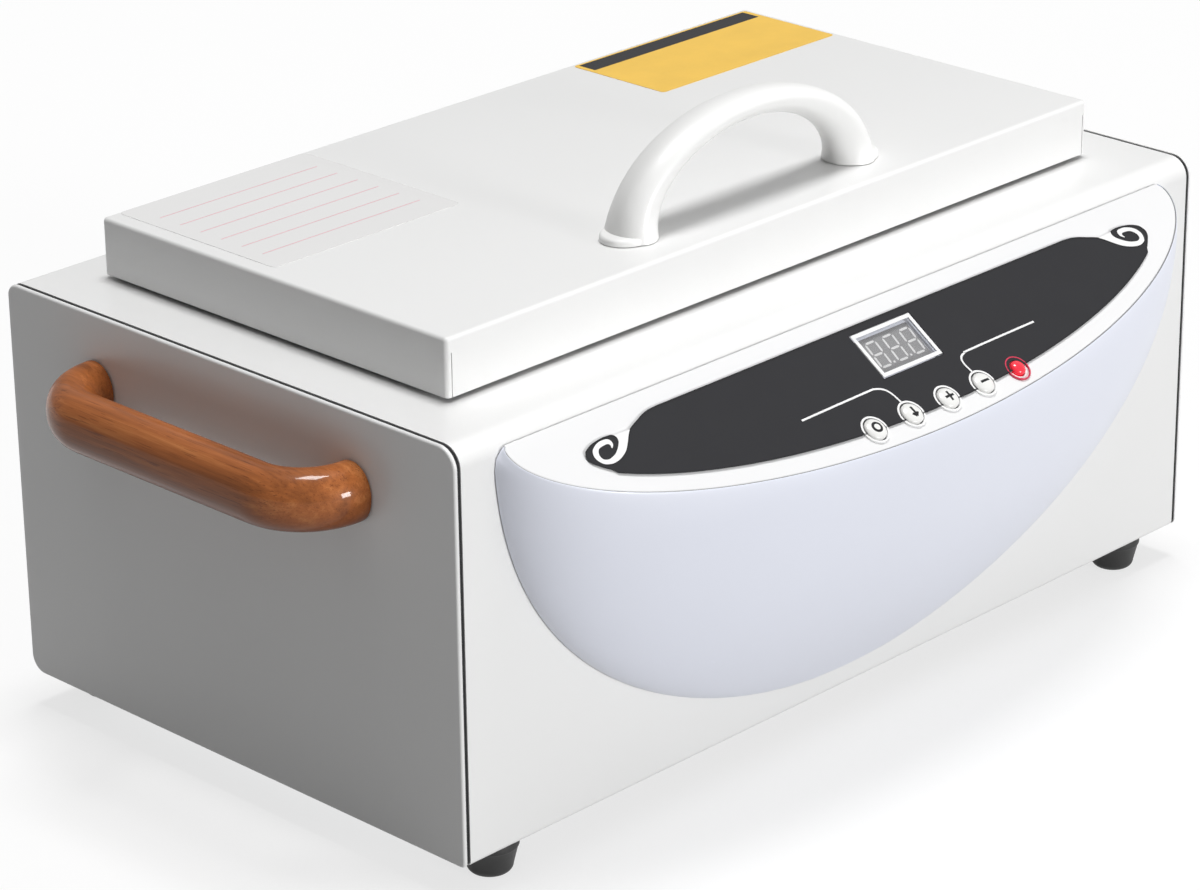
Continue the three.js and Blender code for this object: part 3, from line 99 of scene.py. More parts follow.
class Select(Enum):
    """What an operator picks from a mesh."""

    EDGES = "edges"
    FACES = "faces"

    @property
    def mode(self) -> str:
        """The select mode's own name."""
        return self.value[:-1].upper()


class Side(Enum):
    """The cabinet's two ends, with the sign of their X."""

    LEFT = -1
    RIGHT = 1

    @property
    def word(self) -> str:
        """The end's name as the frame spells it."""
        return self.name.lower()

    def span(self, low: float, high: float) -> Pair:
        """The inner and the outer one of two X at this end."""
        return (high, low) if self is Side.LEFT else (low, high)


class Noise(NamedTuple):
    """A fractal pattern.

    Attributes:
        scale: Its cells for each metre.
        detail: Its octaves.
        fine: How strong the fine octaves are.
        stretch: Its scale along each axis.
    """

    scale: float
    detail: float = 2.0
    fine: float = 0.5
    stretch: Triple = (1.0, 1.0, 1.0)


class Signal:
    """A node's output that takes part in Python expressions."""

    def __init__(self, painter: "Painter", socket: bpy.types.NodeSocket) -> None:
        """Keeps the output, and the painter that adds nodes to its tree."""
        self.painter = painter
        self.socket = socket

    def _maths(self, operation: str, first: "Signal | float", second: "Signal | float") -> "Signal":
        """Adds one Math node and returns its output."""
        return self.painter.node("ShaderNodeMath", {"operation": operation}, {0: first, 1: second})

    def __add__(self, other: "Signal | float") -> "Signal":
        """Sum."""
        return self._maths("ADD", self, other)

    __radd__ = __add__

    def __sub__(self, other: "Signal | float") -> "Signal":
        """Difference."""
        return self._maths("SUBTRACT", self, other)

    def __rsub__(self, other: float) -> "Signal":
        """Difference from a number."""
        return self._maths("SUBTRACT", other, self)

    def __mul__(self, other: "Signal | float") -> "Signal":
        """Product."""
        return self._maths("MULTIPLY", self, other)

    __rmul__ = __mul__

    def __pow__(self, other: "Signal | float") -> "Signal":
        """Power."""
        return self._maths("POWER", self, other)

    def above(self, level: float) -> "Signal":
        """One where the value is over the level, and zero elsewhere."""
        return self._maths("GREATER_THAN", self, level)


class Painter:
    """Builds one node material round a Principled shader."""

    def __init__(self, tree: bpy.types.NodeTree) -> None:
        """Keeps the tree that it adds nodes to."""
        self.tree = tree

    def node(self, kind: str, settings: dict[str, object] | None = None,
             sockets: dict[str | int, object] | None = None, out: str | int = 0) -> Signal:
        """Adds a node.

        Args:
            kind: The node's type.
            settings: Its own settings, set first; "stops" are a ramp's (place, colour) pairs.
            sockets: Values or signals for its inputs.
            out: The output that is wanted.

        Returns:
            The chosen output as a signal.
        """
        made = self.tree.nodes.new(kind)
        for key, value in (settings or {}).items():
            if key == "stops":
                self._set_stops(made, value)
            else:
                setattr(made, key, value)
        for key, value in (sockets or {}).items():
            self.feed(made.inputs[key], value)
        return Signal(self, made.outputs[out])

    @staticmethod
    def _set_stops(ramp: bpy.types.Node, stops: Sequence[tuple[float, Colour]]) -> None:
        """Gives a colour ramp its stops.

        Args:
            ramp: The ramp's node.
            stops: Each stop's place and colour.
        """
        elements = ramp.color_ramp.elements
        while len(elements) < len(stops):
            elements.new(1.0)
        for element, (place, colour) in zip(elements, stops):
            element.position = place
            element.color = (*colour, 1.0)

    def feed(self, socket: bpy.types.NodeSocket, value: object) -> None:
        """Links a signal to a socket, or sets the socket's own value.

        Args:
            socket: The socket that is fed.
            value: A signal, a number, a colour or a vector.
        """
        if isinstance(value, Signal):
            self.tree.links.new(value.socket, socket)
        elif socket.type == "RGBA":
            socket.default_value = (*value, 1.0)
        else:
            socket.default_value = value

    def feed_node(self, name: str, values: dict[str, object]) -> None:
        """Feeds the sockets of a node that the tree came with."""
        for key, value in values.items():
            self.feed(self.tree.nodes[name].inputs[key], value)

    def shade(self, values: dict[str, object]) -> None:
        """Feeds the Principled shader's sockets by name."""
        self.feed_node("Principled BSDF", values)

    def place(self, stretch: Triple = (1.0, 1.0, 1.0)) -> Signal:
        """Object coordinates, stretched for a pattern."""
        where = self.node("ShaderNodeTexCoord", out="Object")
        return self.node("ShaderNodeMapping", {}, {"Vector": where, "Scale": stretch})

    def noise(self, pattern: Noise) -> Signal:
        """A fractal pattern from 0 to 1 on the object's coordinates.

        Args:
            pattern: The pattern that is wanted.

        Returns:
            The pattern as a signal.
        """
        scale, detail, fine, stretch = pattern
        sockets = {"Vector": self.place(stretch), "Scale": scale, "Detail": detail, "Roughness": fine}
        return self.node("ShaderNodeTexNoise", {}, sockets)

    def ramp(self, value: Signal, stops: Sequence[tuple[float, Colour]]) -> Signal:
        """A colour for each level of the value."""
        return self.node("ShaderNodeValToRGB", {"stops": stops}, {"Fac": value})

    def mix(self, share: Signal | float, first: object, second: object) -> Signal:
        """Mixes two colours by a share."""
        return self.node("ShaderNodeMix", {"data_type": "RGBA"}, {0: share, 6: first, 7: second}, out=2)

    def bump(self, height: Signal, distance: float) -> None:
        """Feeds the shader's normal from a height."""
        self.shade({"Normal": self.node("ShaderNodeBump", {}, {"Height": height, "Distance": distance})})


def new_material(name: str) -> bpy.types.Material:
    """A new material with a node tree.

    Args:
        name: The material's name.

    Returns:
        The material.
    """
    made = bpy.data.materials.new(name)
    made.use_nodes = True
    return made


def darker(colour: Colour, share: float) -> Colour:
    """A share of a colour."""
    return tuple(channel * share for channel in colour)


@dataclass(frozen=True)
class Finish:
    """The look of one surface."""

    name: str
    colour: Colour
    roughness: float = 0.4
    depth: float = 0.1
    cloud_scale: float = 40.0

    def paint(self, painter: Painter) -> None:
        """Feeds the material's shader."""
        raise NotImplementedError

    def material(self) -> bpy.types.Material:
        """The finish as a new material."""
        made = new_material(self.name)
        self.paint(Painter(made.node_tree))
        return made

    def toned(self, painter: Painter) -> Signal:
        """The base colour with soft darker clouds."""
        clouds = painter.noise(Noise(self.cloud_scale, 4.0, 0.6))
        return painter.mix(clouds, darker(self.colour, 1.0 - self.depth), self.colour)


@dataclass(frozen=True)
class PowderCoat(Finish):
    """Baked powder paint on sheet steel, with its fine orange peel."""

    depth: float = 0.03
    cloud_scale: float = 9.0
    gloss: Noise = Noise(26.0, 3.0)
    swing: float = 0.10
    peel: Noise = Noise(620.0, 2.0, 0.45)
    peel_height: float = 0.012 * MM

    def paint(self, painter: Painter) -> None:
        """A soft gloss that varies a little, over a fine peel.

        Args:
            painter: The material\'s painter.
        """
        painter.shade({
            "Base Color": self.toned(painter),
            "Roughness": painter.noise(self.gloss) * self.swing + (self.roughness - self.swing / 2),
            "IOR": 1.5,
            "Coat Weight": 0.25,
            "Coat Roughness": 0.12,
        })
        painter.bump(painter.noise(self.peel), self.peel_height)


@dataclass(frozen=True)
class Moulding(Finish):
    """Moulded plastic with a polished skin."""

    coat: float = 0.4
    depth: float = 0.04
    cloud_scale: float = 11.0
    flow: Noise = Noise(14.0, 3.0, 0.5, (0.5, 1.0, 1.6))
    swing: float = 0.08
    grain: Noise = Noise(900.0, 2.0, 0.4)
    grain_height: float = 0.006 * MM

    def paint(self, painter: Painter) -> None:
        """Even colour with faint flow marks and a clear gloss.

        Args:
            painter: The material\'s painter.
        """
        painter.shade({
            "Base Color": self.toned(painter),
            "Roughness": painter.noise(self.flow) * self.swing + (self.roughness - self.swing / 2),
            "Coat Weight": self.coat,
            "Coat Roughness": 0.06,
        })
        painter.bump(painter.noise(self.grain), self.grain_height)


@dataclass(frozen=True)
class VarnishedWood(Finish):
    """Straight-grained hardwood under a thick glossy varnish."""

    dark: Colour = (0.14, 0.036, 0.009)
    light: Colour = (0.60, 0.225, 0.068)
    bands: Noise = Noise(120.0, 5.0, 0.62, (1.0, 0.07, 1.0))
    streaks: Noise = Noise(900.0, 4.0, 0.7, (1.0, 0.035, 1.0))
    pores: Noise = Noise(2600.0, 1.0, 0.5, (1.0, 0.03, 1.0))
    pore_level: float = 0.66
    pore_depth: float = 0.55
    band_share: float = 0.72
    streak_share: float = 0.34
    # Painted shade: the grip's colour is darkened towards its underside, where shade falls.
    stain: float = 0.95
    stain_reach: float = 0.6
    waves: Noise = Noise(170.0)
    relief: float = 0.035 * MM

    def figure(self, painter: Painter, streaks: Signal) -> Signal:
        """The grain's own colours, from the growth bands and the streaks."""
        level = painter.noise(self.bands) * self.band_share + streaks * self.streak_share
        return painter.ramp(level, [
            (0.30, self.dark), (0.45, darker(self.colour, 0.72)), (0.56, self.colour), (0.72, self.light)])

    def stained(self, painter: Painter) -> Signal:
        """How dark the painted shade is, from the grip's underside upwards.

        Args:
            painter: The material's painter.

        Returns:
            The share as a signal.
        """
        low, high = box_of("wood_handle_left")
        height = painter.node("ShaderNodeSeparateXYZ", {}, {"Vector": painter.place()}, out="Z")
        return painter.node("ShaderNodeMapRange", {"interpolation_type": "SMOOTHSTEP"}, {
            "Value": height, "From Min": low.z, "From Max": low.z + (high.z - low.z) * self.stain_reach,
            "To Min": self.stain, "To Max": 0.0,
        })

    def paint(self, painter: Painter) -> None:
        """Growth bands, fine streaks and pores along the grip, and painted shade that darkens its underside.

        Args:
            painter: The material\'s painter.
        """
        streaks = painter.noise(self.streaks)
        pores = painter.noise(self.pores).above(self.pore_level)
        # Mixes painted shade into the grain, towards the dark wood colour at the grip's underside.
        tone = painter.mix(self.stained(painter), self.figure(painter, streaks), self.dark)
        painter.shade({
            "Base Color": painter.mix(pores * self.pore_depth, tone, self.dark),
            "Roughness": streaks * 0.18 + self.roughness,
            "Specular IOR Level": 0.08,
            "Coat Weight": 0.42,
            "Coat Roughness": 0.05,
        })
        painter.bump(streaks * 0.5 + painter.noise(self.waves) * 1.6, self.relief)


@dataclass(frozen=True)
class BrushedSteel(Finish):
    """Stainless sheet or wire with a fine directional brush."""

    brush: Noise = Noise(2400.0, 3.0, 0.6, (0.02, 1.0, 1.0))
    brush_swing: float = 0.16
    smears: Noise = Noise(30.0, 4.0, 0.6)
    smear_swing: float = 0.12
    depth: float = 0.12
    cloud_scale: float = 45.0
    relief: float = 0.006 * MM

    def paint(self, painter: Painter) -> None:
        """Long fine scratches with faint handling marks.

        Args:
            painter: The material\'s painter.
        """
        lines = painter.noise(self.brush)
        least = self.roughness - (self.brush_swing + self.smear_swing) / 2
        painter.shade({
            "Base Color": self.toned(painter),
            "Metallic": 1.0,
            "Roughness": lines * self.brush_swing + painter.noise(self.smears) * self.smear_swing + least,
        })
        painter.bump(lines, self.relief)


@dataclass(frozen=True)
class ZincPlate(Finish):
    """Zinc on steel, with its small crystal spangle."""

    crystals: float = 260.0
    dark_share: float = 0.72
    swing: float = 0.22
    grain: Noise = Noise(700.0)
    relief: float = 0.008 * MM

    def paint(self, painter: Painter) -> None:
        """Crystals of slightly different tone and gloss.

        Args:
            painter: The material\'s painter.
        """
        sockets = {"Vector": painter.place(), "Scale": self.crystals}
        cells = painter.node("ShaderNodeTexVoronoi", {}, sockets, out="Color")
        grey = painter.node("ShaderNodeSeparateColor", {}, {"Color": cells})
        painter.shade({
            "Base Color": painter.mix(grey, darker(self.colour, self.dark_share), self.colour),
            "Metallic": 1.0,
            "Roughness": grey * self.swing + (self.roughness - 0.08),
        })
        painter.bump(painter.noise(self.grain), self.relief)


@dataclass(frozen=True)
class HeatedSheath(Finish):
    """A heating tube's sheath, tinted by use."""

    straw: Colour = (0.34, 0.22, 0.10)
    blue: Colour = (0.10, 0.12, 0.20)
    tint: Noise = Noise(34.0, 3.0, 0.55)
    grain: Noise = Noise(1400.0, 3.0)
    relief: float = 0.01 * MM

    def paint(self, painter: Painter) -> None:
        """Oxide colours in soft bands along the tube.

        Args:
            painter: The material\'s painter.
        """
        tint = painter.noise(self.tint)
        painter.shade({
            "Base Color": painter.ramp(tint, [(0.3, self.blue), (0.5, self.colour), (0.7, self.straw)]),
            "Metallic": 0.85,
            "Roughness": tint * 0.3 + self.roughness - 0.1,
        })
        painter.bump(painter.noise(self.grain), self.relief)


@dataclass(frozen=True)
class SoftRubber(Finish):
    """Moulded rubber or silicone."""

    dust: Noise = Noise(60.0, 5.0, 0.7)
    texture: Noise = Noise(1700.0, 3.0, 0.6)
    relief: float = 0.02 * MM

    def paint(self, painter: Painter) -> None:
        """A dry skin with a fine mould texture and some dust.

        Args:
            painter: The material\'s painter.
        """
        dust = painter.noise(self.dust)
        pale = tuple(min(channel * 2.6 + 0.01, 1.0) for channel in self.colour)
        painter.shade({
            "Base Color": painter.mix(dust ** 3.0, self.colour, pale),
            "Roughness": dust * 0.15 + self.roughness,
            "Sheen Weight": 0.15,
        })
        painter.bump(painter.noise(self.texture), self.relief)


@dataclass(frozen=True)
class PrintedFilm(Finish):
    """Screen-printed polyester film with a satin face."""

    depth: float = 0.16
    cloud_scale: float = 70.0
    pebble: Noise = Noise(2100.0)
    relief: float = 0.006 * MM

    def paint(self, painter: Painter) -> None:
        """Dense ink under a fine pebbled face.

        Args:
            painter: The material\'s painter.
        """
        pebble = painter.noise(self.pebble)
        painter.shade({
            "Base Color": self.toned(painter),
            "Roughness": pebble * 0.12 + self.roughness,
            "Specular IOR Level": 0.22,
        })
        painter.bump(pebble, self.relief)


@dataclass(frozen=True)
class SmokedLens(Finish):
    """A tinted window that lets what is under it show."""

    opacity: float = 0.13
    smear: Noise = Noise(55.0, 4.0, 0.7)
    swing: float = 0.06

    def paint(self, painter: Painter) -> None:
        """Clear gloss with a faint tint and a few soft smears.

        Args:
            painter: The material\'s painter.
        """
        smear = painter.noise(self.smear)
        painter.shade({
            "Base Color": self.toned(painter),
            "Alpha": smear * self.swing + (self.opacity - self.swing / 2),
            "Roughness": smear * 0.05 + self.roughness,
        })


@dataclass(frozen=True)
class GlowingCap(Finish):
    """A translucent push button."""

    glow: float = 0.0
    depth: float = 0.08
    cloud_scale: float = 160.0
    gloss: Noise = Noise(200.0)
    grain: Noise = Noise(1500.0)
    relief: float = 0.004 * MM

    def paint(self, painter: Painter) -> None:
        """Milky plastic, with a painted glow given off as its own emission.

        Args:
            painter: The material\'s painter.
        """
        milk = self.toned(painter)
        painter.shade({
            "Base Color": milk,
            "Roughness": painter.noise(self.gloss) * 0.08 + self.roughness,
            "Coat Weight": 0.5,
            "Coat Roughness": 0.08,
            # The emission is a painted glow: the cap's own colour given off as light.
            "Emission Color": milk,
            "Emission Strength": self.glow,
        })
        painter.bump(painter.noise(self.grain), self.relief)


@dataclass(frozen=True)
class BoardLaminate(Finish):
    """A circuit board under its solder mask, with copper runs."""

    copper: Colour = (0.10, 0.32, 0.15)
    cells: float = 330.0
    track_level: float = 0.42
    gloss: Noise = Noise(400.0)
    relief: float = 0.02 * MM

    def paint(self, painter: Painter) -> None:
        """Square cells of track, faintly raised.

        Args:
            painter: The material\'s painter.
        """
        settings = {"distance": "CHEBYCHEV", "feature": "F1"}
        sockets = {"Vector": painter.place(), "Scale": self.cells}
        track = painter.node("ShaderNodeTexVoronoi", settings, sockets).above(self.track_level)
        painter.shade({
            "Base Color": painter.mix(track, self.colour, self.copper),
            "Roughness": painter.noise(self.gloss) * 0.1 + self.roughness,
        })
        painter.bump(track, self.relief)


@dataclass(frozen=True)
class FibreBoard(Finish):
    """Pressed glass or mineral fibre."""

    fibres: Noise = Noise(800.0, 6.0, 0.75, (1.0, 1.0, 4.0))
    dark_share: float = 0.6
    relief: float = 0.25 * MM

    def paint(self, painter: Painter) -> None:
        """Matted fibres that lie in the board's plane.

        Args:
            painter: The material\'s painter.
        """
        mat = painter.noise(self.fibres)
        painter.shade({
            "Base Color": painter.mix(mat, darker(self.colour, self.dark_share), self.colour),
            "Roughness": self.roughness,
            "Sheen Weight": 0.3,
        })
        painter.bump(mat, self.relief)


@dataclass(frozen=True)
class StackedCore(Finish):
    """A transformer's lacquered laminations."""

    depth: float = 0.4
    cloud_scale: float = 60.0
    sheets: float = 320.0
    distortion: float = 0.3
    relief: float = 0.05 * MM

    def paint(self, painter: Painter) -> None:
        """Thin sheets edge on.

        Args:
            painter: The material\'s painter.
        """
        sockets = {"Vector": painter.place(), "Scale": self.sheets, "Distortion": self.distortion}
        sheets = painter.node("ShaderNodeTexWave", {}, sockets)
        painter.shade({
            "Base Color": self.toned(painter),
            "Metallic": 0.6,
            "Roughness": sheets * 0.2 + self.roughness,
        })
        painter.bump(sheets, self.relief)


FINISHES: dict[str, Finish] = {finish.name: finish for finish in (
    PowderCoat("white_enamel", (0.86, 0.86, 0.855), 0.36),
    Moulding("fascia_plastic", (0.825, 0.85, 0.945), 0.40, coat=0.12),
    Moulding("panel_plastic", (0.80, 0.80, 0.805), 0.42, coat=0.15),
    PrintedFilm("overlay_film", (0.024, 0.024, 0.027), 0.42),
    SmokedLens("window_plastic", (0.45, 0.45, 0.46), 0.06),
    Moulding("display_plastic", (0.17, 0.175, 0.185), 0.55, coat=0.0),
    BoardLaminate("board_laminate", (0.03, 0.14, 0.06), 0.45),
    GlowingCap("clear_button", (0.84, 0.84, 0.82), 0.26),
    # The red cap's emission is a painted glow.
    GlowingCap("red_button", (0.80, 0.012, 0.035), 0.22, glow=0.35),
    VarnishedWood("varnished_wood", (0.41, 0.125, 0.032), 0.30),
    SoftRubber("black_rubber", (0.012, 0.012, 0.012), 0.55),
    Moulding("handle_plastic", (0.90, 0.90, 0.89), 0.36, coat=0.2),
    BrushedSteel("stainless", (0.60, 0.605, 0.61), 0.34),
    ZincPlate("zinc_steel", (0.52, 0.54, 0.56), 0.42),
    HeatedSheath("heater_sheath", (0.20, 0.17, 0.14), 0.5),
    FibreBoard("glass_fibre", (0.70, 0.64, 0.48), 0.95),
    SoftRubber("silicone", (0.055, 0.055, 0.058), 0.5),
    Moulding("black_plastic", (0.018, 0.018, 0.02), 0.45, coat=0.1),
    StackedCore("core_steel", (0.12, 0.12, 0.13), 0.5),
    PrintedFilm("white_ink", (0.89, 0.89, 0.89), 0.45),
    PrintedFilm("black_ink", (0.02, 0.02, 0.022), 0.4),
    PrintedFilm("red_ink", (0.62, 0.05, 0.10), 0.4),
    PrintedFilm("pink_ink", (0.80, 0.40, 0.46), 0.5),
    Moulding("clear_film", (0.83, 0.825, 0.82), 0.26, coat=0.3),
    PrintedFilm("yellow_film", (0.95, 0.60, 0.10), 0.38),
    PrintedFilm("dial_grey", (0.30, 0.30, 0.305), 0.4),
)}


class FinishBook:
    """Hands out one material for each finish."""

    def __init__(self) -> None:
        """Starts with no material made."""
        self.made: dict[str, bpy.types.Material] = {}

    def material(self, name: str) -> bpy.types.Material:
        """The material of a finish, made when it is first asked for.

        Args:
            name: The finish's name.

        Returns:
            The material.
        """
        if name not in self.made:
            self.made[name] = FINISHES[name].material()
        return self.made[name]


@cache
def box_of(node: str) -> tuple[Vector, Vector]:
    """The lowest and highest corner of a node of the frame."""
    low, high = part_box(node)
    return low.freeze(), high.freeze()


def clear_selection() -> None:
    """Leaves edit mode and deselects everything."""
    active = bpy.context.view_layer.objects.active
    if active is not None and active.mode != "OBJECT":
        bpy.ops.object.mode_set(mode="OBJECT")
    bpy.ops.object.select_all(action="DESELECT")


@contextmanager
def edit_mode(piece: Piece) -> Iterator[None]:
    """Holds a piece in edit mode, with all of it selected.

    Args:
        piece: The piece, the only one that is selected afterwards.
    """
    take(piece)
    bpy.ops.object.mode_set(mode="EDIT")
    bpy.ops.mesh.select_all(action="SELECT")
    yield
    bpy.ops.object.mode_set(mode="OBJECT")


@contextmanager
def picked(piece: Piece, kind: Select, test: Test) -> Iterator[None]:
    """Holds a piece in edit mode, with the edges or faces selected that pass a test.

    Args:
        piece: The piece.
        kind: What is picked.
        test: Says of one edge or face whether it is picked.
    """
    with edit_mode(piece):
        bpy.ops.mesh.select_mode(type=kind.mode)
        bpy.ops.mesh.select_all(action="DESELECT")
        mesh = bmesh.from_edit_mesh(piece.data)
        for item in getattr(mesh, kind.value):
            if test(item):
                item.select_set(True)
        mesh.select_flush_mode()
        bmesh.update_edit_mesh(piece.data)
        yield


def take(*pieces: Piece) -> None:
    """Makes pieces the only ones selected.

    Args:
        *pieces: The pieces, of which the first one is made active.
    """
    clear_selection()
    for piece in pieces:
        piece.select_set(True)
    bpy.context.view_layer.objects.active = pieces[0]


def lay_out(name: str, data: bpy.types.ID) -> Piece:
    """A new object in the scene, for a mesh, a lamp or a camera.

    Args:
        name: The object's name.
        data: What it holds.

    Returns:
        The object.
    """
    piece = bpy.data.objects.new(name, data)
    bpy.context.scene.collection.objects.link(piece)
    return piece


def settle(name: str) -> Piece:
    """Names the primitive that was just added, and applies its place to its mesh.

    Args:
        name: The piece's name.

    Returns:
        The piece.
    """
    piece = bpy.context.object
    piece.name = name
    bpy.ops.object.transform_apply(location=True, rotation=True, scale=True)
    return piece


def box(name: str, low: Sequence[float], high: Sequence[float]) -> Piece:
    """A box between two corners.

    Args:
        name: The piece's name.
        low: Its lowest corner.
        high: Its highest corner.

    Returns:
        The box.
    """
    clear_selection()
    low, high = Vector(low), Vector(high)
    bpy.ops.mesh.primitive_cube_add(size=1.0, location=(low + high) / 2)
    bpy.context.object.scale = high - low
    return settle(name)


def rod(name: str, start: Sequence[float], end: Sequence[float], radius: float, sides: int = 32) -> Piece:
    """A round bar between two points.

    Args:
        name: The piece's name.
        start: The middle of one end.
        end: The middle of the other end.
        radius: Its radius.
        sides: Its faces round about.

    Returns:
        The bar.
    """
    clear_selection()
    start, end = Vector(start), Vector(end)
    along = end - start
    bpy.ops.mesh.primitive_cylinder_add(
        vertices=sides, radius=radius, depth=along.length, location=(start + end) / 2,
        rotation=along.to_track_quat("Z", "Y").to_euler())
    return settle(name)


def block(name: str, low: Sequence[float], high: Sequence[float], corner: float,
          axis: int = 2, steps: int = 8) -> Piece:
    """A box whose four edges along one axis are rounded."""
    return round_edges(box(name, low, high), edge_along(axis), corner, steps)


def pan(name: str, low: Sequence[float], high: Sequence[float], radii: Pair, level: float,
        steps: int = 10) -> Piece:
    """A block whose upright corners are rounded, and so is the edge round one level."""
    piece = block(name, low, high, radii[0], 2, steps)
    return round_edges(piece, edge_on(2, level), radii[1], max(steps // 2, 3))


def hollow(piece: Piece, corners: tuple[Vector, Vector], wall: float, radii: Pair, opens_up: bool,
           steps: int = 10) -> None:
    """Cuts the inside out of a pan, which leaves a sheet of even thickness.

    Args:
        piece: The solid pan.
        corners: The lowest and the highest corner that the inside is measured from.
        wall: The sheet's thickness.
        radii: The inside radius of the upright corners, and of the edge round the closed end.
        opens_up: Whether it is open above, not underneath.
        steps: The steps in a corner.
    """
    low, high = corners
    if opens_up:
        low, high = low + Vector((wall, wall, wall)), high + Vector((-wall, -wall, OVERRUN))
    else:
        low, high = low + Vector((wall, wall, -OVERRUN)), high - Vector((wall, wall, wall))
    cut(piece, [pan("inside", low, high, radii, low.z if opens_up else high.z, steps)])


def halve(piece: Piece, place: Sequence[float], away: Sequence[float]) -> None:
    """Cuts off everything on the away side of a plane, and closes the cut.

    Args:
        piece: The piece.
        place: A point of the plane.
        away: The direction of the side that goes.
    """
    with edit_mode(piece):
        bpy.ops.mesh.bisect(plane_co=place, plane_no=away, use_fill=True, clear_outer=True)
    close(piece)


def round_edges(piece: Piece, test: Test, radius: float, segments: int) -> Piece:
    """Rounds the edges that pass a test.

    Args:
        piece: The piece.
        test: Says of one edge whether it is rounded.
        radius: The radius of the rounding.
        segments: The steps across it.

    Returns:
        The same piece.
    """
    with picked(piece, Select.EDGES, test):
        bpy.ops.mesh.bevel(offset=radius, segments=segments, affect="EDGES")
    return piece


def drop_faces(piece: Piece, test: Test) -> None:
    """Deletes the faces that pass a test."""
    with picked(piece, Select.FACES, test):
        bpy.ops.mesh.delete(type="FACE")


def close(piece: Piece) -> None:
    """Merges doubled points and turns all faces outwards.

    Args:
        piece: The piece.
    """
    with edit_mode(piece):
        bpy.ops.mesh.remove_doubles(threshold=SKIN / 10)
        bpy.ops.mesh.normals_make_consistent(inside=False)


def modify(piece: Piece, kind: str, **settings: object) -> None:
    """Adds a modifier and applies it.

    Args:
        piece: The piece.
        kind: The modifier's type.
        **settings: The modifier's settings.
    """
    take(piece)
    made = piece.modifiers.new(kind.title(), kind)
    for key, value in settings.items():
        setattr(made, key, value)
    bpy.ops.object.modifier_apply(modifier=made.name)


def thicken(piece: Piece, wall: float) -> None:
    """Gives a skin its wall, inwards."""
    settings = {"thickness": wall, "offset": -1.0, "use_even_offset": True, "use_quality_normals": True}
    modify(piece, "SOLIDIFY", **settings)


def combine(pieces: Sequence[Piece], name: str | None = None) -> Piece:
    """Puts separate meshes into the first one's object.

    Args:
        pieces: The pieces, which are gone afterwards except the first one.
        name: The joined piece's name, unless it keeps the first one's.

    Returns:
        The joined piece.
    """
    take(*pieces)
    if len(pieces) > 1:
        bpy.ops.object.join()
    pieces[0].name = name or pieces[0].name
    return pieces[0]


def _boolean(piece: Piece, tool: Piece, operation: str) -> None:
    """Applies one boolean, and removes its tool."""
    modify(piece, "BOOLEAN", operation=operation, object=tool, solver="EXACT")
    bpy.data.objects.remove(tool, do_unlink=True)


def cut(piece: Piece, tools: Sequence[Piece]) -> None:
    """Cuts tools that don't touch each other from a piece, all at once."""
    _boolean(piece, combine(tools), "DIFFERENCE")


def fuse(piece: Piece, other: Piece) -> None:
    """Joins another solid to a piece."""
    _boolean(piece, other, "UNION")


def soften(piece: Piece, width: float, angle: float = 35 * DEGREE, segments: int = 2) -> None:
    """Breaks the sharp edges."""
    settings = {"limit_method": "ANGLE", "angle_limit": angle, "use_clamp_overlap": True}
    modify(piece, "BEVEL", width=width, segments=segments, **settings)


def shade_smooth(piece: Piece, angle: float = 32 * DEGREE) -> None:
    """Shades the piece smooth, but for its sharp edges."""
    take(piece)
    bpy.ops.object.shade_smooth_by_angle(angle=angle)


def new_mesh(name: str, points: Iterable[Sequence[float]], edges: Sequence[Sequence[int]],
         faces: Sequence[Sequence[int]]) -> Piece:
    """A new object from points and what joins them.

    Args:
        name: The piece's name.
        points: The points.
        edges: The points at the ends of each edge that is on no face.
        faces: The points round each face.

    Returns:
        The piece.
    """
    data = bpy.data.meshes.new(name)
    data.from_pydata([tuple(point) for point in points], edges, faces)
    return lay_out(name, data)


def loft(name: str, rings: Sequence[Sequence[Vector]]) -> Piece:
    """Skins a row of closed rings with as many points each, and closes both ends.

    Args:
        name: The piece's name.
        rings: The rings, in order.

    Returns:
        The piece, with its faces outwards.
    """
    count = len(rings[0])
    faces = [
        (row * count + i, row * count + (i + 1) % count,
         (row + 1) * count + (i + 1) % count, (row + 1) * count + i)
        for row in range(len(rings) - 1)
        for i in range(count)
    ]
    last = (len(rings) - 1) * count
    faces += [tuple(range(count)), tuple(range(last, last + count))]
    piece = new_mesh(name, (point for ring in rings for point in ring), [], faces)
    close(piece)
    return piece


def sweep(name: str, path: Sequence[Vector], section: Callable[[int], Sequence[Point]]) -> Piece:
    """Draws a section along a path.

    Args:
        name: The piece's name.
        path: The points of the centre line.
        section: The section's points for each step of the path, across it and upwards.

    Returns:
        The closed piece.
    """
    rings = []
    for index, place in enumerate(path):
        ahead = path[min(index + 1, len(path) - 1)]
        behind = path[max(index - 1, 0)]
        across = (ahead - behind).normalized().cross(UP).normalized()
        rings.append([place + across * a + UP * b for a, b in section(index)])
    return loft(name, rings)


def turn(name: str, profile: Sequence[Point], sides: int = 48, ring: bool = False) -> Piece:
    """Spins a profile of (radius, height) about the Z axis.

    Args:
        name: The piece's name.
        profile: The profile's points.
        sides: The steps of the full turn.
        ring: Whether the profile closes on itself, and doesn't start and end on the axis.

    Returns:
        The closed piece at the origin.
    """
    count = len(profile)
    edges = [(i, (i + 1) % count) for i in range(count if ring else count - 1)]
    piece = new_mesh(name, ((radius, 0.0, height) for radius, height in profile), edges, [])
    with edit_mode(piece):
        bpy.ops.mesh.spin(steps=sides, angle=2 * math.pi, center=(0, 0, 0), axis=(0, 0, 1))
    close(piece)
    return piece


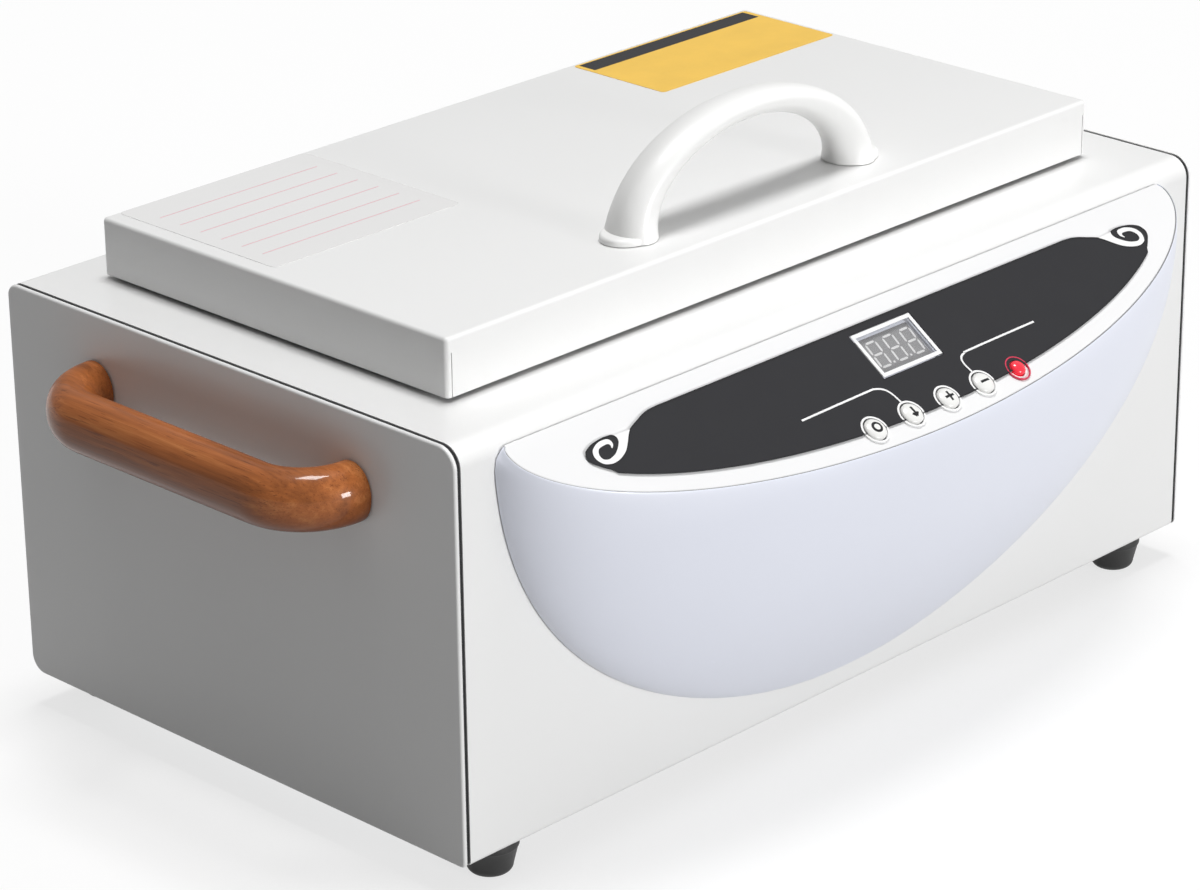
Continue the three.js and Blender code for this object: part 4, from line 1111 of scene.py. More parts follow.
def plate(name: str, outline: Sequence[Point], low: float, high: float) -> Piece:
    """A flat plate with an outline, between two heights."""
    rings = [[Vector((x, y, z)) for x, y in outline] for z in (low, high)]
    return loft(name, rings)


def put(piece: Piece, matrix: Matrix) -> Piece:
    """Moves a piece's mesh, and leaves its object at the origin."""
    piece.data.transform(matrix)
    return piece


def arc(centre: Point, radii: Pair, start: float, end: float, steps: int) -> list[Point]:
    """The points of a round or oval arc between two angles, with both its ends."""
    angles = (start + (end - start) * step / steps for step in range(steps + 1))
    return [(centre[0] + radii[0] * math.cos(t), centre[1] + radii[1] * math.sin(t)) for t in angles]


def between(start: Point, end: Point, shares: Iterable[float]) -> list[Point]:
    """The points at some shares of the way from one point to another."""
    return [(start[0] + (end[0] - start[0]) * t, start[1] + (end[1] - start[1]) * t) for t in shares]


def bent_path(corners: Sequence[Vector], radii: Sequence[float], steps: int) -> list[Vector]:
    """A line through corners that are rounded.

    Args:
        corners: The line's corners.
        radii: The radius at each inner corner.
        steps: The steps in each bend.

    Returns:
        The points of the rounded line.
    """
    path = [corners[0]]
    for before, corner, after, radius in zip(corners, corners[1:], corners[2:], radii):
        back, ahead = (before - corner).normalized(), (after - corner).normalized()
        half = back.angle(ahead) / 2
        centre = corner + (back + ahead).normalized() * (radius / math.sin(half))
        start = corner + back * (radius / math.tan(half)) - centre
        end = corner + ahead * (radius / math.tan(half)) - centre
        sweep = start.angle(end)
        for step in range(steps + 1):
            share = step / steps
            first = math.sin((1 - share) * sweep) / math.sin(sweep)
            second = math.sin(share * sweep) / math.sin(sweep)
            path.append(centre + start * first + end * second)
    path.append(corners[-1])
    return path


def oval(half_width: float, half_height: float, sides: int, squareness: float = 1.0) -> list[Point]:
    """A section's points, from an ellipse to a rounded box.

    Args:
        half_width: Half the first size.
        half_height: Half the second size.
        sides: How many points.
        squareness: One for an ellipse, less for squarer.

    Returns:
        The points in order.
    """
    points = []
    for i in range(sides):
        angle = 2 * math.pi * i / sides
        c, s = math.cos(angle), math.sin(angle)
        points.append((
            half_width * math.copysign(abs(c) ** squareness, c),
            half_height * math.copysign(abs(s) ** squareness, s),
        ))
    return points


def flowing(points: Sequence[Point], steps: int) -> list[Point]:
    """A smooth curve through points.

    Args:
        points: The points that it passes.
        steps: The steps between two of them.

    Returns:
        The curve's points, with the first and the last one.
    """
    curve = []
    last = len(points) - 1
    for index in range(last):
        before, start, end, after = (points[min(max(index + shift, 0), last)] for shift in (-1, 0, 1, 2))
        for step in range(steps):
            t = step / steps
            curve.append(tuple(
                b + t / 2 * (c - a + t * (2 * a - 5 * b + 4 * c - d + t * (3 * (b - c) + d - a)))
                for a, b, c, d in zip(before, start, end, after)))
    return [*curve, points[-1]]


def edge_along(axis: int, *place: float | None) -> Test:
    """A test for edges along one axis.

    Args:
        axis: The axis.
        *place: The X, Y and Z of their middle, where None is free, or nothing where all are.

    Returns:
        The test.
    """
    def test(edge: bmesh.types.BMEdge) -> bool:
        """Whether the edge lies so."""
        start, end = (point.co for point in edge.verts)
        span, middle = end - start, (start + end) / 2
        near = (abs(at - wanted) < NEAR for at, wanted in zip(middle, place) if wanted is not None)
        return abs(span[axis]) > PARALLEL * span.length and all(near)
    return test


def edge_on(axis: int, level: float) -> Test:
    """A test for edges whose two ends are at one level of an axis."""
    return lambda edge: all(abs(point.co[axis] - level) < NEAR for point in edge.verts)


def faces_along(axis: int) -> Test:
    """A test for faces that look along an axis, either way."""
    return lambda face: abs(face.normal[axis]) > PARALLEL


def rectangle(half_width: float, half_height: float) -> list[Point]:
    """A rectangle's four corners."""
    return [(x * half_width, y * half_height) for x, y in ((1, 1), (-1, 1), (-1, -1), (1, -1))]


@dataclass
class Assembly:
    """A part of the sterilizer, and what its pieces share."""

    book: FinishBook

    def add(self, piece: Piece, body: str, finish: str, nodes: Sequence[str] = (),
            smooth: bool = True) -> None:
        """Dresses a piece and hands it to the frame.

        Args:
            piece: The finished mesh.
            body: The body that it moves with.
            finish: The name of its finish.
            nodes: The nodes that it stands for.
            smooth: Whether it is shaded smooth between its sharp edges.
        """
        if smooth:
            shade_smooth(piece)
        piece.data.materials.clear()
        piece.data.materials.append(self.book.material(finish))
        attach(piece, body)
        finish in RECORD_SLOTS
        if nodes:
            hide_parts(*nodes)
        log.info("%s: %d faces on %s", piece.name, len(piece.data.polygons), body)

    def refine(self, node: str, body: str, finish: str, edge: float) -> None:
        """Stands a copy of a node in its place, with flat faces joined and sharp edges broken.

        Args:
            node: The node that is copied.
            body: The body that it moves with.
            finish: The name of its finish.
            edge: The width of the broken edges.
        """
        piece = lay_out(f"{node}_refined", frame["nodes"][node].data.copy())
        close(piece)
        with picked(piece, Select.FACES, lambda _: True):
            bpy.ops.mesh.dissolve_limited(angle_limit=0.5 * DEGREE)
        soften(piece, edge)
        self.add(piece, body, finish, [node])


@dataclass
class Cabinet(Assembly):
    """The folded wrapper, its end plates, the feet and the rear fittings."""

    sheet: float = 1.2 * MM
    end_sheet: float = 2 * MM
    rim_inset: float = 0.4 * MM
    end_gap: float = 1.45 * MM
    end_edge: float = 0.8 * MM
    seat_gap: float = 0.3 * MM
    bends: tuple[float, float, float, float] = (7 * MM, 4.5 * MM, 6 * MM, 2 * MM)
    bend_steps: int = 10
    flange_width: float = 24 * MM
    opening_size: Triple = (287.2 * MM, 138.1 * MM, 14.8 * MM)
    opening_centre: float = 24.35 * MM
    vent_count: int = 9
    vent_pitch: float = 10 * MM
    vent_size: Pair = (4 * MM, 26 * MM)
    vent_place: Pair = (75 * MM, 108.5 * MM)
    vent_round: float = 0.96
    inlet_rim: float = 2.4 * MM
    inlet_edge: float = 0.5 * MM
    base_edge: float = 0.2 * MM
    foot_base: float = 0.8
    foot_recess: Pair = (0.36, 0.45)
    foot_fillet: float = 0.3
    foot_edge: float = 0.15

    def build(self) -> None:
        """Builds and dresses the cabinet."""
        self.wrapper()
        for side in Side:
            self.end_plate(side)
        for node in (f"rubber_foot_{side.word}_{row}" for row in ("front", "rear") for side in Side):
            self.foot(node)
        self.refine("base_plate", "cabinet", "zinc_steel", self.base_edge)
        self.refine("power_inlet", "cabinet", "black_plastic", self.inlet_edge)

    def outline_box(self, name: str, ends: Sequence[float], inset: float, steps: int) -> Piece:
        """A box with the cabinet's outline.

        Args:
            name: The piece's name.
            ends: The X of its two ends.
            inset: How far its outline is drawn in.
            steps: The steps in a corner.

        Returns:
            The solid box.
        """
        low, high = box_of("cabinet_wrapper")
        front, rear = low.y + inset, high.y - inset
        bottom, top = low.z + inset, high.z - inset
        piece = box(name, (ends[0], front, bottom), (ends[1], rear, top))
        corners = ((front, top), (rear, top), (rear, bottom), (front, bottom))
        for (y, z), bend in zip(corners, self.bends):
            radius = max(bend - inset, self.sheet / 4)
            round_edges(piece, edge_along(0, None, y, z), radius, steps)
        return piece

    def wrapper(self) -> None:
        """The wrapper: one folded sheet with the chamber's opening, vents and the inlet's hole."""
        low, high = box_of("cabinet_wrapper")
        piece = self.outline_box("cabinet_wrapper_sheet", (low.x, high.x), 0.0, self.bend_steps)
        drop_faces(piece, faces_along(0))
        thicken(piece, self.sheet)
        length, depth, corner = self.opening_size
        opening = block(
            "opening",
            (-length / 2, self.opening_centre - depth / 2, high.z - 2 * self.sheet - OVERRUN),
            (length / 2, self.opening_centre + depth / 2, high.z + OVERRUN), corner, 2, 12)
        bottom = box(
            "bottom_opening",
            (low.x - OVERRUN, low.y + self.flange_width, low.z - OVERRUN),
            (high.x + OVERRUN, high.y - self.flange_width, low.z + self.sheet + OVERRUN))
        cut(piece, [opening, bottom, self.inlet_hole(), *self.vent_tools()])
        self.add(piece, "cabinet", "white_enamel", ["cabinet_wrapper"])

    def vent_tools(self) -> list[Piece]:
        """The tools that cut the round-ended slots of the rear vent.

        Returns:
            The tools, from left to right.
        """
        rear = box_of("cabinet_wrapper")[1].y
        half_width, half_height = (size / 2 for size in self.vent_size)
        centre, level = self.vent_place
        tools = []
        for index in range(self.vent_count):
            x = centre + (index - (self.vent_count - 1) / 2) * self.vent_pitch
            tools.append(block(
                "slot",
                (x - half_width, rear - self.sheet - OVERRUN, level - half_height),
                (x + half_width, rear + OVERRUN, level + half_height), half_width * self.vent_round, 1, 5))
        return tools

    def inlet_hole(self) -> Piece:
        """The tool that cuts the hole for the inlet's body.

        Returns:
            The tool.
        """
        low, high = box_of("power_inlet")
        rear = box_of("cabinet_wrapper")[1].y
        inset = self.inlet_rim - self.seat_gap
        return box(
            "inlet_hole",
            (low.x + inset, rear - self.sheet - OVERRUN, low.z + inset),
            (high.x - inset, rear + OVERRUN / 2, high.z - inset))

    def end_plate(self, side: Side) -> None:
        """One end's flat plate with a rounded outer edge, and behind it a rim painted black as the shadow in
        the seam.

        Args:
            side: The end.
        """
        outer = side.value * box_of("end_plate_right")[1].x
        inner = box_of("cabinet_wrapper")[1].x + self.end_gap
        name = f"end_plate_{side.word}"
        plate = self.outline_box(f"{name}_cap", sorted((side.value * inner, outer)), 0.0, self.bend_steps)
        round_edges(plate, edge_on(0, outer), self.end_edge, 4)
        depth = sorted((side.value * (inner - SKIN), side.value * (inner - self.end_gap + SKIN)))
        rim = self.outline_box(f"{name}_rim", depth, self.rim_inset, 4)
        drop_faces(rim, faces_along(0))
        thicken(rim, self.end_sheet)
        # The rim is painted black: a painted shadow in the gap round the cap.
        self.add(rim, "cabinet", "black_ink")
        self.add(plate, "cabinet", "white_enamel", [name])

    def foot(self, node: str) -> None:
        """One moulded rubber foot, a round cup that is open below.

        Args:
            node: The foot's node.
        """
        low, high = box_of(node)
        top, height = (high.x - low.x) / 2, high.z - low.z
        base, fillet = top * self.foot_base, top * self.foot_fillet
        recess, deep = (share * size for share, size in zip(self.foot_recess, (top, height)))
        edge = fillet * self.foot_edge
        profile = [(recess, deep), (recess, edge), (recess + edge / 2, 0.0)]
        profile += arc((base - fillet, fillet), (fillet, fillet), -QUARTER, 0.0, 8)
        for step in range(7):
            x = top - edge + edge * math.sin(QUARTER * step / 6)
            profile.append((x, height - fillet - edge + edge * step / 3))
        profile += [(top, height - edge), (top - edge / 2, height), (recess / 2, height), (recess / 2, deep)]
        foot = turn(f"{node}_moulding", profile, ring=True)
        put(foot, Matrix.Translation(((low.x + high.x) / 2, (low.y + high.y) / 2, low.z)))
        self.add(foot, "cabinet", "black_rubber", [node])


@dataclass
class WoodGrips(Assembly):
    """The two varnished wooden bow handles on the end plates."""

    half_height: float = 10 * MM
    half_thickness: float = 8.5 * MM
    bend_radius: float = 20 * MM
    squareness: float = 0.95
    sides: int = 48
    bend_steps: int = 20
    straight_steps: int = 14
    end_round: float = 0.8 * MM

    def build(self) -> None:
        """Builds both grips."""
        for side in Side:
            self.grip(side)

    def grip(self, side: Side) -> None:
        """A bow of even section, straight in the middle, with two bends.

        Args:
            side: The end that it is on.
        """
        node = f"wood_handle_{side.word}"
        low, high = box_of(node)
        near, far = side.span(low.x, high.x)
        reach = far - side.value * self.half_thickness
        front, rear = low.y + self.half_thickness, high.y - self.half_thickness
        corners = [Vector((x, y, (low.z + high.z) / 2)) for x, y in (
            (near, front), (reach, front), (reach, rear), (near, rear))]
        path = self.divided(bent_path(corners, (self.bend_radius, self.bend_radius), self.bend_steps))

        def section(index: int) -> list[Point]:
            """The section at a step, a little smaller at both ends."""
            share = 1.0 if 0 < index < len(path) - 1 else 1.0 - self.end_round / self.half_height
            return oval(self.half_thickness * share, self.half_height * share, self.sides, self.squareness)

        self.add(sweep(f"{node}_bow", path, section), "cabinet", "varnished_wood", [node])

    def divided(self, path: list[Vector]) -> list[Vector]:
        """Divides a bow's long straight run, and adds a short step at both ends.

        Args:
            path: The bow's centre line.

        Returns:
            The line with more points.
        """
        middle = len(path) // 2
        start, end = path[middle - 1], path[middle]
        run = [start.lerp(end, step / self.straight_steps) for step in range(1, self.straight_steps)]
        first = path[0] + (path[1] - path[0]).normalized() * self.end_round / 2
        last = path[-1] + (path[-2] - path[-1]).normalized() * self.end_round / 2
        return [path[0], first, *path[1:middle], *run, *path[middle:-1], last, path[-1]]


@dataclass
class Fascia(Assembly):
    """The moulded front bulge with its sloping control panel, display and buttons."""

    half_width: float = 164 * MM
    reach: float = 44 * MM
    bottom: float = 19.5 * MM
    crown: float = 153.5 * MM
    panel_top: float = 148.5 * MM
    slope: float = 34.5 * DEGREE
    reach_power: float = 1.6
    width_powers: Pair = (2.29, 1.89)
    wall: float = 2.5 * MM
    seat_gap: float = 0.42 * MM
    rim: float = 1.3 * MM
    nudge: float = 0.002
    shoulder: Pair = (0.6 * MM, 11 * MM)
    lip: Pair = (0.9 * MM, 3.4 * MM)
    end_round: Pair = (4.2 * MM, 9 * MM)
    top_margin: float = 0.3 * MM
    panel_thickness: float = 1.2 * MM
    strip_width: float = 1.5 * MM
    strip_tuck: float = 0.3 * MM
    deck_tuck: float = 0.4 * MM
    deck_top: float = -1.5 * MM
    deck_underside: float = -3.7 * MM
    film_low: float = 0.2 * MM
    film_top: float = 0.6 * MM
    columns: int = 180
    rows: int = 44
    lip_steps: int = 8
    row_share: float = 1.2
    film_down: float = 45.2 * MM
    film_across: float = 152 * MM
    film_edge_share: float = 0.855
    film_shoulder: tuple[Point, ...] = (
        (100.0, 7.7), (104.0, 8.0), (107.4, 8.8), (109.8, 9.7), (112.9, 10.8), (115.2, 11.8),
        (116.9, 13.0), (118.9, 14.9))
    film_curl: tuple[Point, ...] = (
        (122.6, 15.2), (121.8, 13.5), (121.7, 12.2), (122.8, 11.2), (124.1, 11.0), (126.2, 10.9),
        (128.8, 11.1), (131.7, 11.6), (134.0, 12.4), (135.6, 13.3), (136.4, 14.6), (136.6, 15.9),
        (135.9, 17.5), (134.2, 19.2), (132.5, 20.7), (131.2, 21.7))
    band_outside: tuple[Point, ...] = (
        (115.2, 11.6), (116.9, 13.0), (119.5, 15.5), (121.7, 17.4), (123.8, 18.6), (126.5, 19.6),
        (129.4, 20.0), (131.5, 19.6), (133.0, 18.8), (134.0, 17.1), (134.1, 15.4), (133.2, 13.7),
        (131.5, 12.5), (129.0, 11.6), (126.7, 11.5), (125.2, 11.8), (124.5, 12.8), (124.7, 14.1),
        (125.9, 15.2))
    band_inside: tuple[Point, ...] = (
        (126.1, 14.9), (125.8, 14.0), (126.4, 13.3), (128.3, 13.3), (130.3, 13.7), (131.5, 14.7),
        (132.1, 16.0), (131.8, 17.4), (130.5, 18.1), (129.1, 18.1), (126.6, 17.4), (124.6, 16.2),
        (122.9, 14.8), (121.9, 13.6), (121.6, 12.3), (122.0, 11.4))
    guides: tuple[tuple[Point, ...], ...] = (
        ((-54.4, 31.2), (-24.0, 30.8), (-19.2, 31.0), (-16.2, 32.4), (-14.6, 34.8), (-13.7, 38.9)),
        ((61.0, 30.8), (28.6, 31.1), (24.4, 31.5), (21.9, 32.7), (21.1, 35.0), (21.6, 38.9)))
    curve_steps: int = 6
    bow_steps: int = 60
    film_line: float = 0.6 * MM
    band_line: float = 0.7 * MM
    guide_line: float = 0.7 * MM
    # The level and width of the painted shadow line in the panel's joint.
    joint_level: float = -0.3 * MM
    joint_share: float = 0.9
    plate_edge: float = 0.35 * MM
    lens_edge: float = 0.25 * MM
    window_centre: Pair = (2.1 * MM, -19.6 * MM)
    window_size: Pair = (28.8 * MM, 17.8 * MM)
    window_ledge: float = 1.6 * MM
    window_frame: float = 1.4 * MM
    button_names: tuple[str, ...] = ("power", "down", "plus", "minus", "timer")
    button_centre: float = 4.4 * MM
    button_pitch: float = 17.75 * MM
    button_up: float = -43.8 * MM
    button_radius: float = 4 * MM
    timer_radius: float = 2.75 * MM
    button_clearance: float = 0.35 * MM
    button_rise: float = 1.5 * MM
    button_foot: float = -6.0 * MM
    collar: Triple = (5.4 * MM, -4.0 * MM, -5.2 * MM)
    ring: Pair = (4.5 * MM, 5.2 * MM)
    timer_ring: Pair = (4.3 * MM, 4.75 * MM)
    boss_shares: tuple[Pair, ...] = ((0.74, 0.72), (0.5, 0.3))
    boss_radius: float = 4.2 * MM
    stem_radius: float = 2 * MM
    mark_ring: float = 1.6 * MM
    mark_long: float = 1.9 * MM
    mark_head: float = 1.2 * MM
    mark_line: float = 0.9 * MM
    digit_count: int = 3
    digit_size: Pair = (4.7 * MM, 9.9 * MM)
    digit_shift: Pair = (1.1 * MM, 0.3 * MM)
    digit_pitch: float = 8.3 * MM
    digit_lean: float = 0.07
    digit_stroke: float = 0.5 * MM
    digit_gap: float = 0.3 * MM
    point_place: float = 1.6 * MM
    point_height: float = 0.8 * MM
    ink: float = 0.06 * MM

    def build(self) -> None:
        """Builds the shell, the panel and what is on it."""
        self.shell()
        self.panel()
        self.film()
        self.display()
        for index in range(len(self.button_names)):
            self.button(index)
        self.printing()

    @property
    def front(self) -> float:
        """Y of the cabinet's front face."""
        return box_of("cabinet_wrapper")[0].y

    @property
    def on_panel(self) -> Matrix:
        """The panel's own frame: X across, Y up the slope, Z out of its face."""
        place = Matrix.Translation((0.0, self.front, self.panel_top))
        return place @ Matrix.Rotation(self.slope, 4, "X")

    @property
    def angles(self) -> list[float]:
        """The angles of the dome's columns on the plan, from the right end to the left one."""
        return [math.pi * step / self.columns for step in range(self.columns + 1)]

    @property
    def lip_height(self) -> float:
        """Height at which the sloping panel ends at the front."""
        return self.panel_top - self.reach * math.tan(self.slope)

    def share_below(self, height: float, top: float, wall: float) -> float:
        """The share of the way from the dome's bottom to a top, at a height."""
        bottom = self.bottom + 2 * wall
        return min(max((height - bottom) / (top - bottom), 0.0), 1.0)

    def reach_at(self, height: float, wall: float = 0.0) -> float:
        """How far the dome stands out at a height, or its inner face."""
        share = 1 - self.share_below(height, self.lip_height, wall)
        return (self.reach - wall) * (1 - share ** self.reach_power)

    def width_at(self, height: float, wall: float = 0.0) -> float:
        """The dome's half width at a height.

        Args:
            height: The height.
            wall: How far inside the outer face it is measured.

        Returns:
            The half width.
        """
        share = 1 - self.share_below(height, self.crown, wall)
        first, second = self.width_powers
        return (self.half_width - wall) * max(1 - share ** first, 0.0) ** (1 / second)

    def on_dome(self, angle: float, height: float, wall: float = 0.0) -> Vector:
        """A point of the dome's outer face, or of its inner one.

        Args:
            angle: Its angle on the plan, from the right end round the front.
            height: Its height.
            wall: How far inside the outer face it is.

        Returns:
            The point.
        """
        across, tall = self.end_round
        share = min(max((height - self.panel_top + tall) / tall, 0.0), 1.0)
        drawn_in = across * (1 - math.sqrt(1 - share ** 2))
        return Vector((
            (self.width_at(height, wall) - drawn_in) * math.cos(angle),
            self.front - self.reach_at(height, wall) * math.sin(angle),
            height,
        ))

    def meets_level(self, angle: float, level: float, wall: float = 0.0) -> float:
        """Height at which a column of the dome meets a level of the panel's frame.

        Args:
            angle: The column's angle on the plan.
            level: The level, out of the panel's face.
            wall: How far inside the outer face the column is.

        Returns:
            The height.
        """
        height = self.panel_top
        for _ in range(30):
            out = self.reach_at(height, wall) * math.sin(angle)
            height = self.panel_top + level / math.cos(self.slope) - out * math.tan(self.slope)
        return height

    def beside_edge(self, angle: float, inset: float) -> Point:
        """A place on the panel that is drawn in from the dome's edge.

        Args:
            angle: The angle of the edge's point on the plan.
            inset: How far it is drawn in.

        Returns:
            The place across and up the slope.
        """
        flat, angles = self.on_panel.inverted(), (angle - self.nudge, angle + self.nudge)
        before, after = (flat @ self.on_dome(at, self.meets_level(at, 0.0)) for at in angles)
        along = (after - before).normalized()
        return (before.x + after.x) / 2 + along.y * inset, (before.y + after.y) / 2 - along.x * inset

    def pocket(self, angle: float, inset: float, level: float) -> Vector:
        """A point of the pocket's wall in the lip."""
        return self.on_panel @ Vector((*self.beside_edge(angle, self.rim + inset), level))

    def column(self, angle: float) -> list[Vector]:
        """The shell's section: up outside, over the lip, into the pocket and down inside.

        Args:
            angle: Its angle on the plan.

        Returns:
            The section's points.
        """
        edge_height = self.meets_level(angle, 0.0)
        edge = self.on_dome(angle, edge_height)
        inner = self.pocket(angle, -self.seat_gap, 0.0)
        draw, tall = self.shoulder
        flat, deep = self.lip
        top = edge_height - deep

        def shouldered(height: float) -> Vector:
            """A point of the outer face, drawn in towards the lip."""
            share = max((height - edge_height + tall) / tall, 0.0)
            return self.on_dome(angle, height) + (inner - edge).normalized() * draw * share ** 2

        start, corner = shouldered(top), shouldered(edge_height)
        end = corner.lerp(inner, flat / max((inner - corner).length, flat))
        shares = [(row / self.rows) ** self.row_share for row in range(self.rows + 1)]
        points = [shouldered(self.bottom + (top - self.bottom) * share) for share in shares[:-1]]
        for step in range(self.lip_steps + 1):
            share = step / self.lip_steps
            points.append(start * (1 - share) ** 2 + corner * 2 * share * (1 - share) + end * share ** 2)
        points += [inner, self.pocket(angle, -self.seat_gap, self.deck_underside)]
        low = self.bottom + 2 * self.wall
        rise = self.meets_level(angle, self.deck_underside, self.wall) - low
        return points + [self.on_dome(angle, low + rise * share, self.wall) for share in reversed(shares)]

    def trimmed(self, piece: Piece) -> Piece:
        """Cuts a piece off flush with the fascia's back."""
        halve(piece, (0.0, self.front - self.seat_gap, 0.0), (0.0, 1.0, 0.0))
        return piece

    def outline(self, inset: float, top: float) -> list[Point]:
        """The panel's outline: the dome's edge drawn in, with a straight top edge.

        Args:
            inset: How far it is drawn in beyond the rim.
            top: How far down the slope the straight edge is.

        Returns:
            Its points across and up the slope.
        """
        points = [self.beside_edge(angle, self.rim + inset) for angle in self.angles]
        kept = [point for point in points if point[1] < -top - NEAR]
        return [(kept[0][0], -top), *kept, (kept[-1][0], -top)]

    def hole_tools(self, low: float, high: float, grow: float) -> list[Piece]:
        """The tools that cut the button holes and the display opening, in the panel's frame.

        Args:
            low: The tools' lowest level.
            high: Their highest level.
            grow: How much the opening is larger than the window, on each side.

        Returns:
            The tools.
        """
        tools = []
        for index in range(len(self.button_names)):
            x, y = self.button_at(index)
            radius = self.cap_radius(index) + self.button_clearance
            tools.append(rod("hole", (x, y, low), (x, y, high), radius, 48))
        return [*tools, self.window_box("opening", grow, low, high)]

    def window_box(self, name: str, grow: float, low: float, high: float) -> Piece:
        """A box over the display window, in the panel's frame.

        Args:
            name: The piece's name.
            grow: How much it is larger than the window, on each side.
            low: Its lowest level.
            high: Its highest level.

        Returns:
            The box.
        """
        (x, y), (width, height) = self.window_centre, self.window_size
        right, up = width / 2 + grow, height / 2 + grow
        return box(name, (x - right, y - up, low), (x + right, y + up, high))

    def cap_radius(self, index: int) -> float:
        """A button's radius."""
        return self.timer_radius if self.button_names[index] == "timer" else self.button_radius

    def button_at(self, index: int) -> Point:
        """A button's place on the panel."""
        middle = (len(self.button_names) - 1) / 2
        return self.button_centre + (index - middle) * self.button_pitch, self.button_up

    def shell(self) -> None:
        """The moulded shell with its deck, top strip and screw bosses."""
        skin = self.trimmed(loft("fascia_moulding", [self.column(angle) for angle in self.angles]))
        outline = self.outline(-self.seat_gap - self.deck_tuck, self.seat_gap)
        deck = plate("deck", outline, self.deck_underside, self.deck_top)
        cut(deck, self.hole_tools(self.deck_underside - OVERRUN, OVERRUN, -self.window_ledge))
        put(deck, self.on_panel)
        half = self.width_at(self.lip_height) - self.rim + self.seat_gap + self.strip_tuck
        top = -self.panel_thickness - SKIN
        strip = box("strip", (-half, -self.strip_width, self.deck_underside), (half, OVERRUN, top))
        put(strip, self.on_panel)
        pieces = [skin, self.trimmed(deck), self.trimmed(strip), *self.bosses()]
        self.add(combine(pieces), "cabinet", "fascia_plastic", ["fascia_shell"])

    def bosses(self) -> list[Piece]:
        """The screw bosses inside the shell.

        Returns:
            The four bosses.
        """
        made = []
        for side in Side:
            for across, up in self.boss_shares:
                x = side.value * across * self.half_width
                z = self.bottom + up * (self.panel_top - self.bottom)
                share = x / self.width_at(z, self.wall)
                out = self.reach_at(z, self.wall) * math.sqrt(max(1 - share ** 2, 0.0))
                ends = ((x, self.front - out - self.wall / 4, z), (x, self.front - self.seat_gap, z))
                made.append(rod("boss", *ends, self.boss_radius, 32))
        return made

    def panel(self) -> None:
        """The white panel plate in the pocket, and a dark grey line in the joint round it, a painted shadow.
        """
        outline = self.outline(0.0, self.top_margin)
        panel = plate("control_panel_plate", outline, -self.panel_thickness, 0.0)
        round_edges(panel, edge_on(2, 0.0), self.plate_edge, 3)
        cut(panel, self.hole_tools(-self.panel_thickness - OVERRUN, OVERRUN, self.seat_gap))
        put(panel, self.on_panel)
        self.add(self.trimmed(panel), "cabinet", "panel_plastic", ["control_panel"])
        # A dark grey line along the bottom of the joint: a painted shadow in the gap round the plate.
        path = self.outline(-self.seat_gap / 2, self.top_margin)[4:-4]
        joint = self.ribbon("joint", path, self.seat_gap * self.joint_share, self.joint_level)
        self.printed("panel_joint", [joint], "dial_grey")

    def film_outline(self) -> list[Point]:
        """The dark film: a bow with a straight top edge and a curl at each end.

        Returns:
            Its points across and up the slope.
        """
        right = flowing(self.film_shoulder, self.curve_steps) + flowing(self.film_curl, self.curve_steps)
        right = [(across * MM, -down * MM) for across, down in right]
        for step in range(self.bow_steps + 1):
            across = self.film_across * self.film_edge_share * (1 - step / self.bow_steps)
            right.append((across, -self.film_down * math.sqrt(1 - (across / self.film_across) ** 2)))
        return right + [(-across, up) for across, up in reversed(right[:-1])]

    def film(self) -> None:
        """The printed film on the panel, with its black outline."""
        outline = self.film_outline()
        film = plate("panel_overlay_film", outline, self.film_low, self.film_top)
        cut(film, self.hole_tools(-OVERRUN, OVERRUN, self.seat_gap))
        put(film, self.on_panel)
        self.add(film, "cabinet", "overlay_film", ["panel_overlay"])
        lines = [self.ribbon("outline", [*outline, outline[0]], self.film_line, self.film_top)]
        for side in Side:
            lines.append(self.ribbon("outline", self.band(side)[3:-4], self.band_line, self.film_top))
        self.printed("film_outline_black", lines, "black_ink")

    def display(self) -> None:
        """The smoked window over its module, and the three digits that show in it."""
        lens = self.window_box("display_window_lens", 0.0, self.deck_top + self.seat_gap, self.film_top)
        round_edges(lens, edge_on(2, self.film_top), self.lens_edge, 3)
        put(lens, self.on_panel)
        self.add(lens, "cabinet", "window_plastic", ["display_window"])
        level = self.deck_top + SKIN
        face = self.window_box("face", -self.window_ledge, level, level + SKIN)
        self.printed("display_face", [face], "dial_grey")
        self.digits()

    def ribbon(self, name: str, path: Sequence[Point], width: float | Sequence[float], level: float) -> Piece:
        """A printed line on the panel.

        Args:
            name: The piece's name.
            path: Its points across and up the slope.
            width: Its width, the same all along or one for each point.
            level: The height of the face that it is printed on.

        Returns:
            The line in the panel's frame.
        """
        widths = [width] * len(path) if isinstance(width, float) else width
        places = [Vector((x, y, level + self.ink / 2)) for x, y in path]
        return sweep(name, places, lambda i: rectangle(widths[i] / 2, self.ink / 2))

    def digits(self) -> None:
        """The slanted seven-segment digits and their points, as they look unlit."""
        (x, y), (width, height) = self.window_centre, self.digit_size
        x, y, half = x + self.digit_shift[0], y + self.digit_shift[1], height / 2
        bars = [((0, v), (1, v)) for v in (1, 0, -1)]
        bars += [((u, v), (u, v + 1)) for v in (0, -1) for u in (0, 1)]
        pieces = []
        for place in range(self.digit_count):
            centre = x + (place - (self.digit_count - 1) / 2) * self.digit_pitch
            for bar in bars:
                start, end = (((u - 0.5) * width, v * half) for u, v in bar)
                gap = self.digit_gap / math.dist(start, end)
                ends = between(start, end, (gap, 1 - gap))
                pieces.append(self.segment(*((centre + a + self.digit_lean * b, y + b) for a, b in ends)))
            if place < self.digit_count - 1:
                dot = centre + width / 2 + self.point_place - self.digit_lean * half
                pieces.append(self.segment((dot, y - half), (dot, y - half + self.point_height)))
        self.printed("display_digits", pieces, "white_ink")

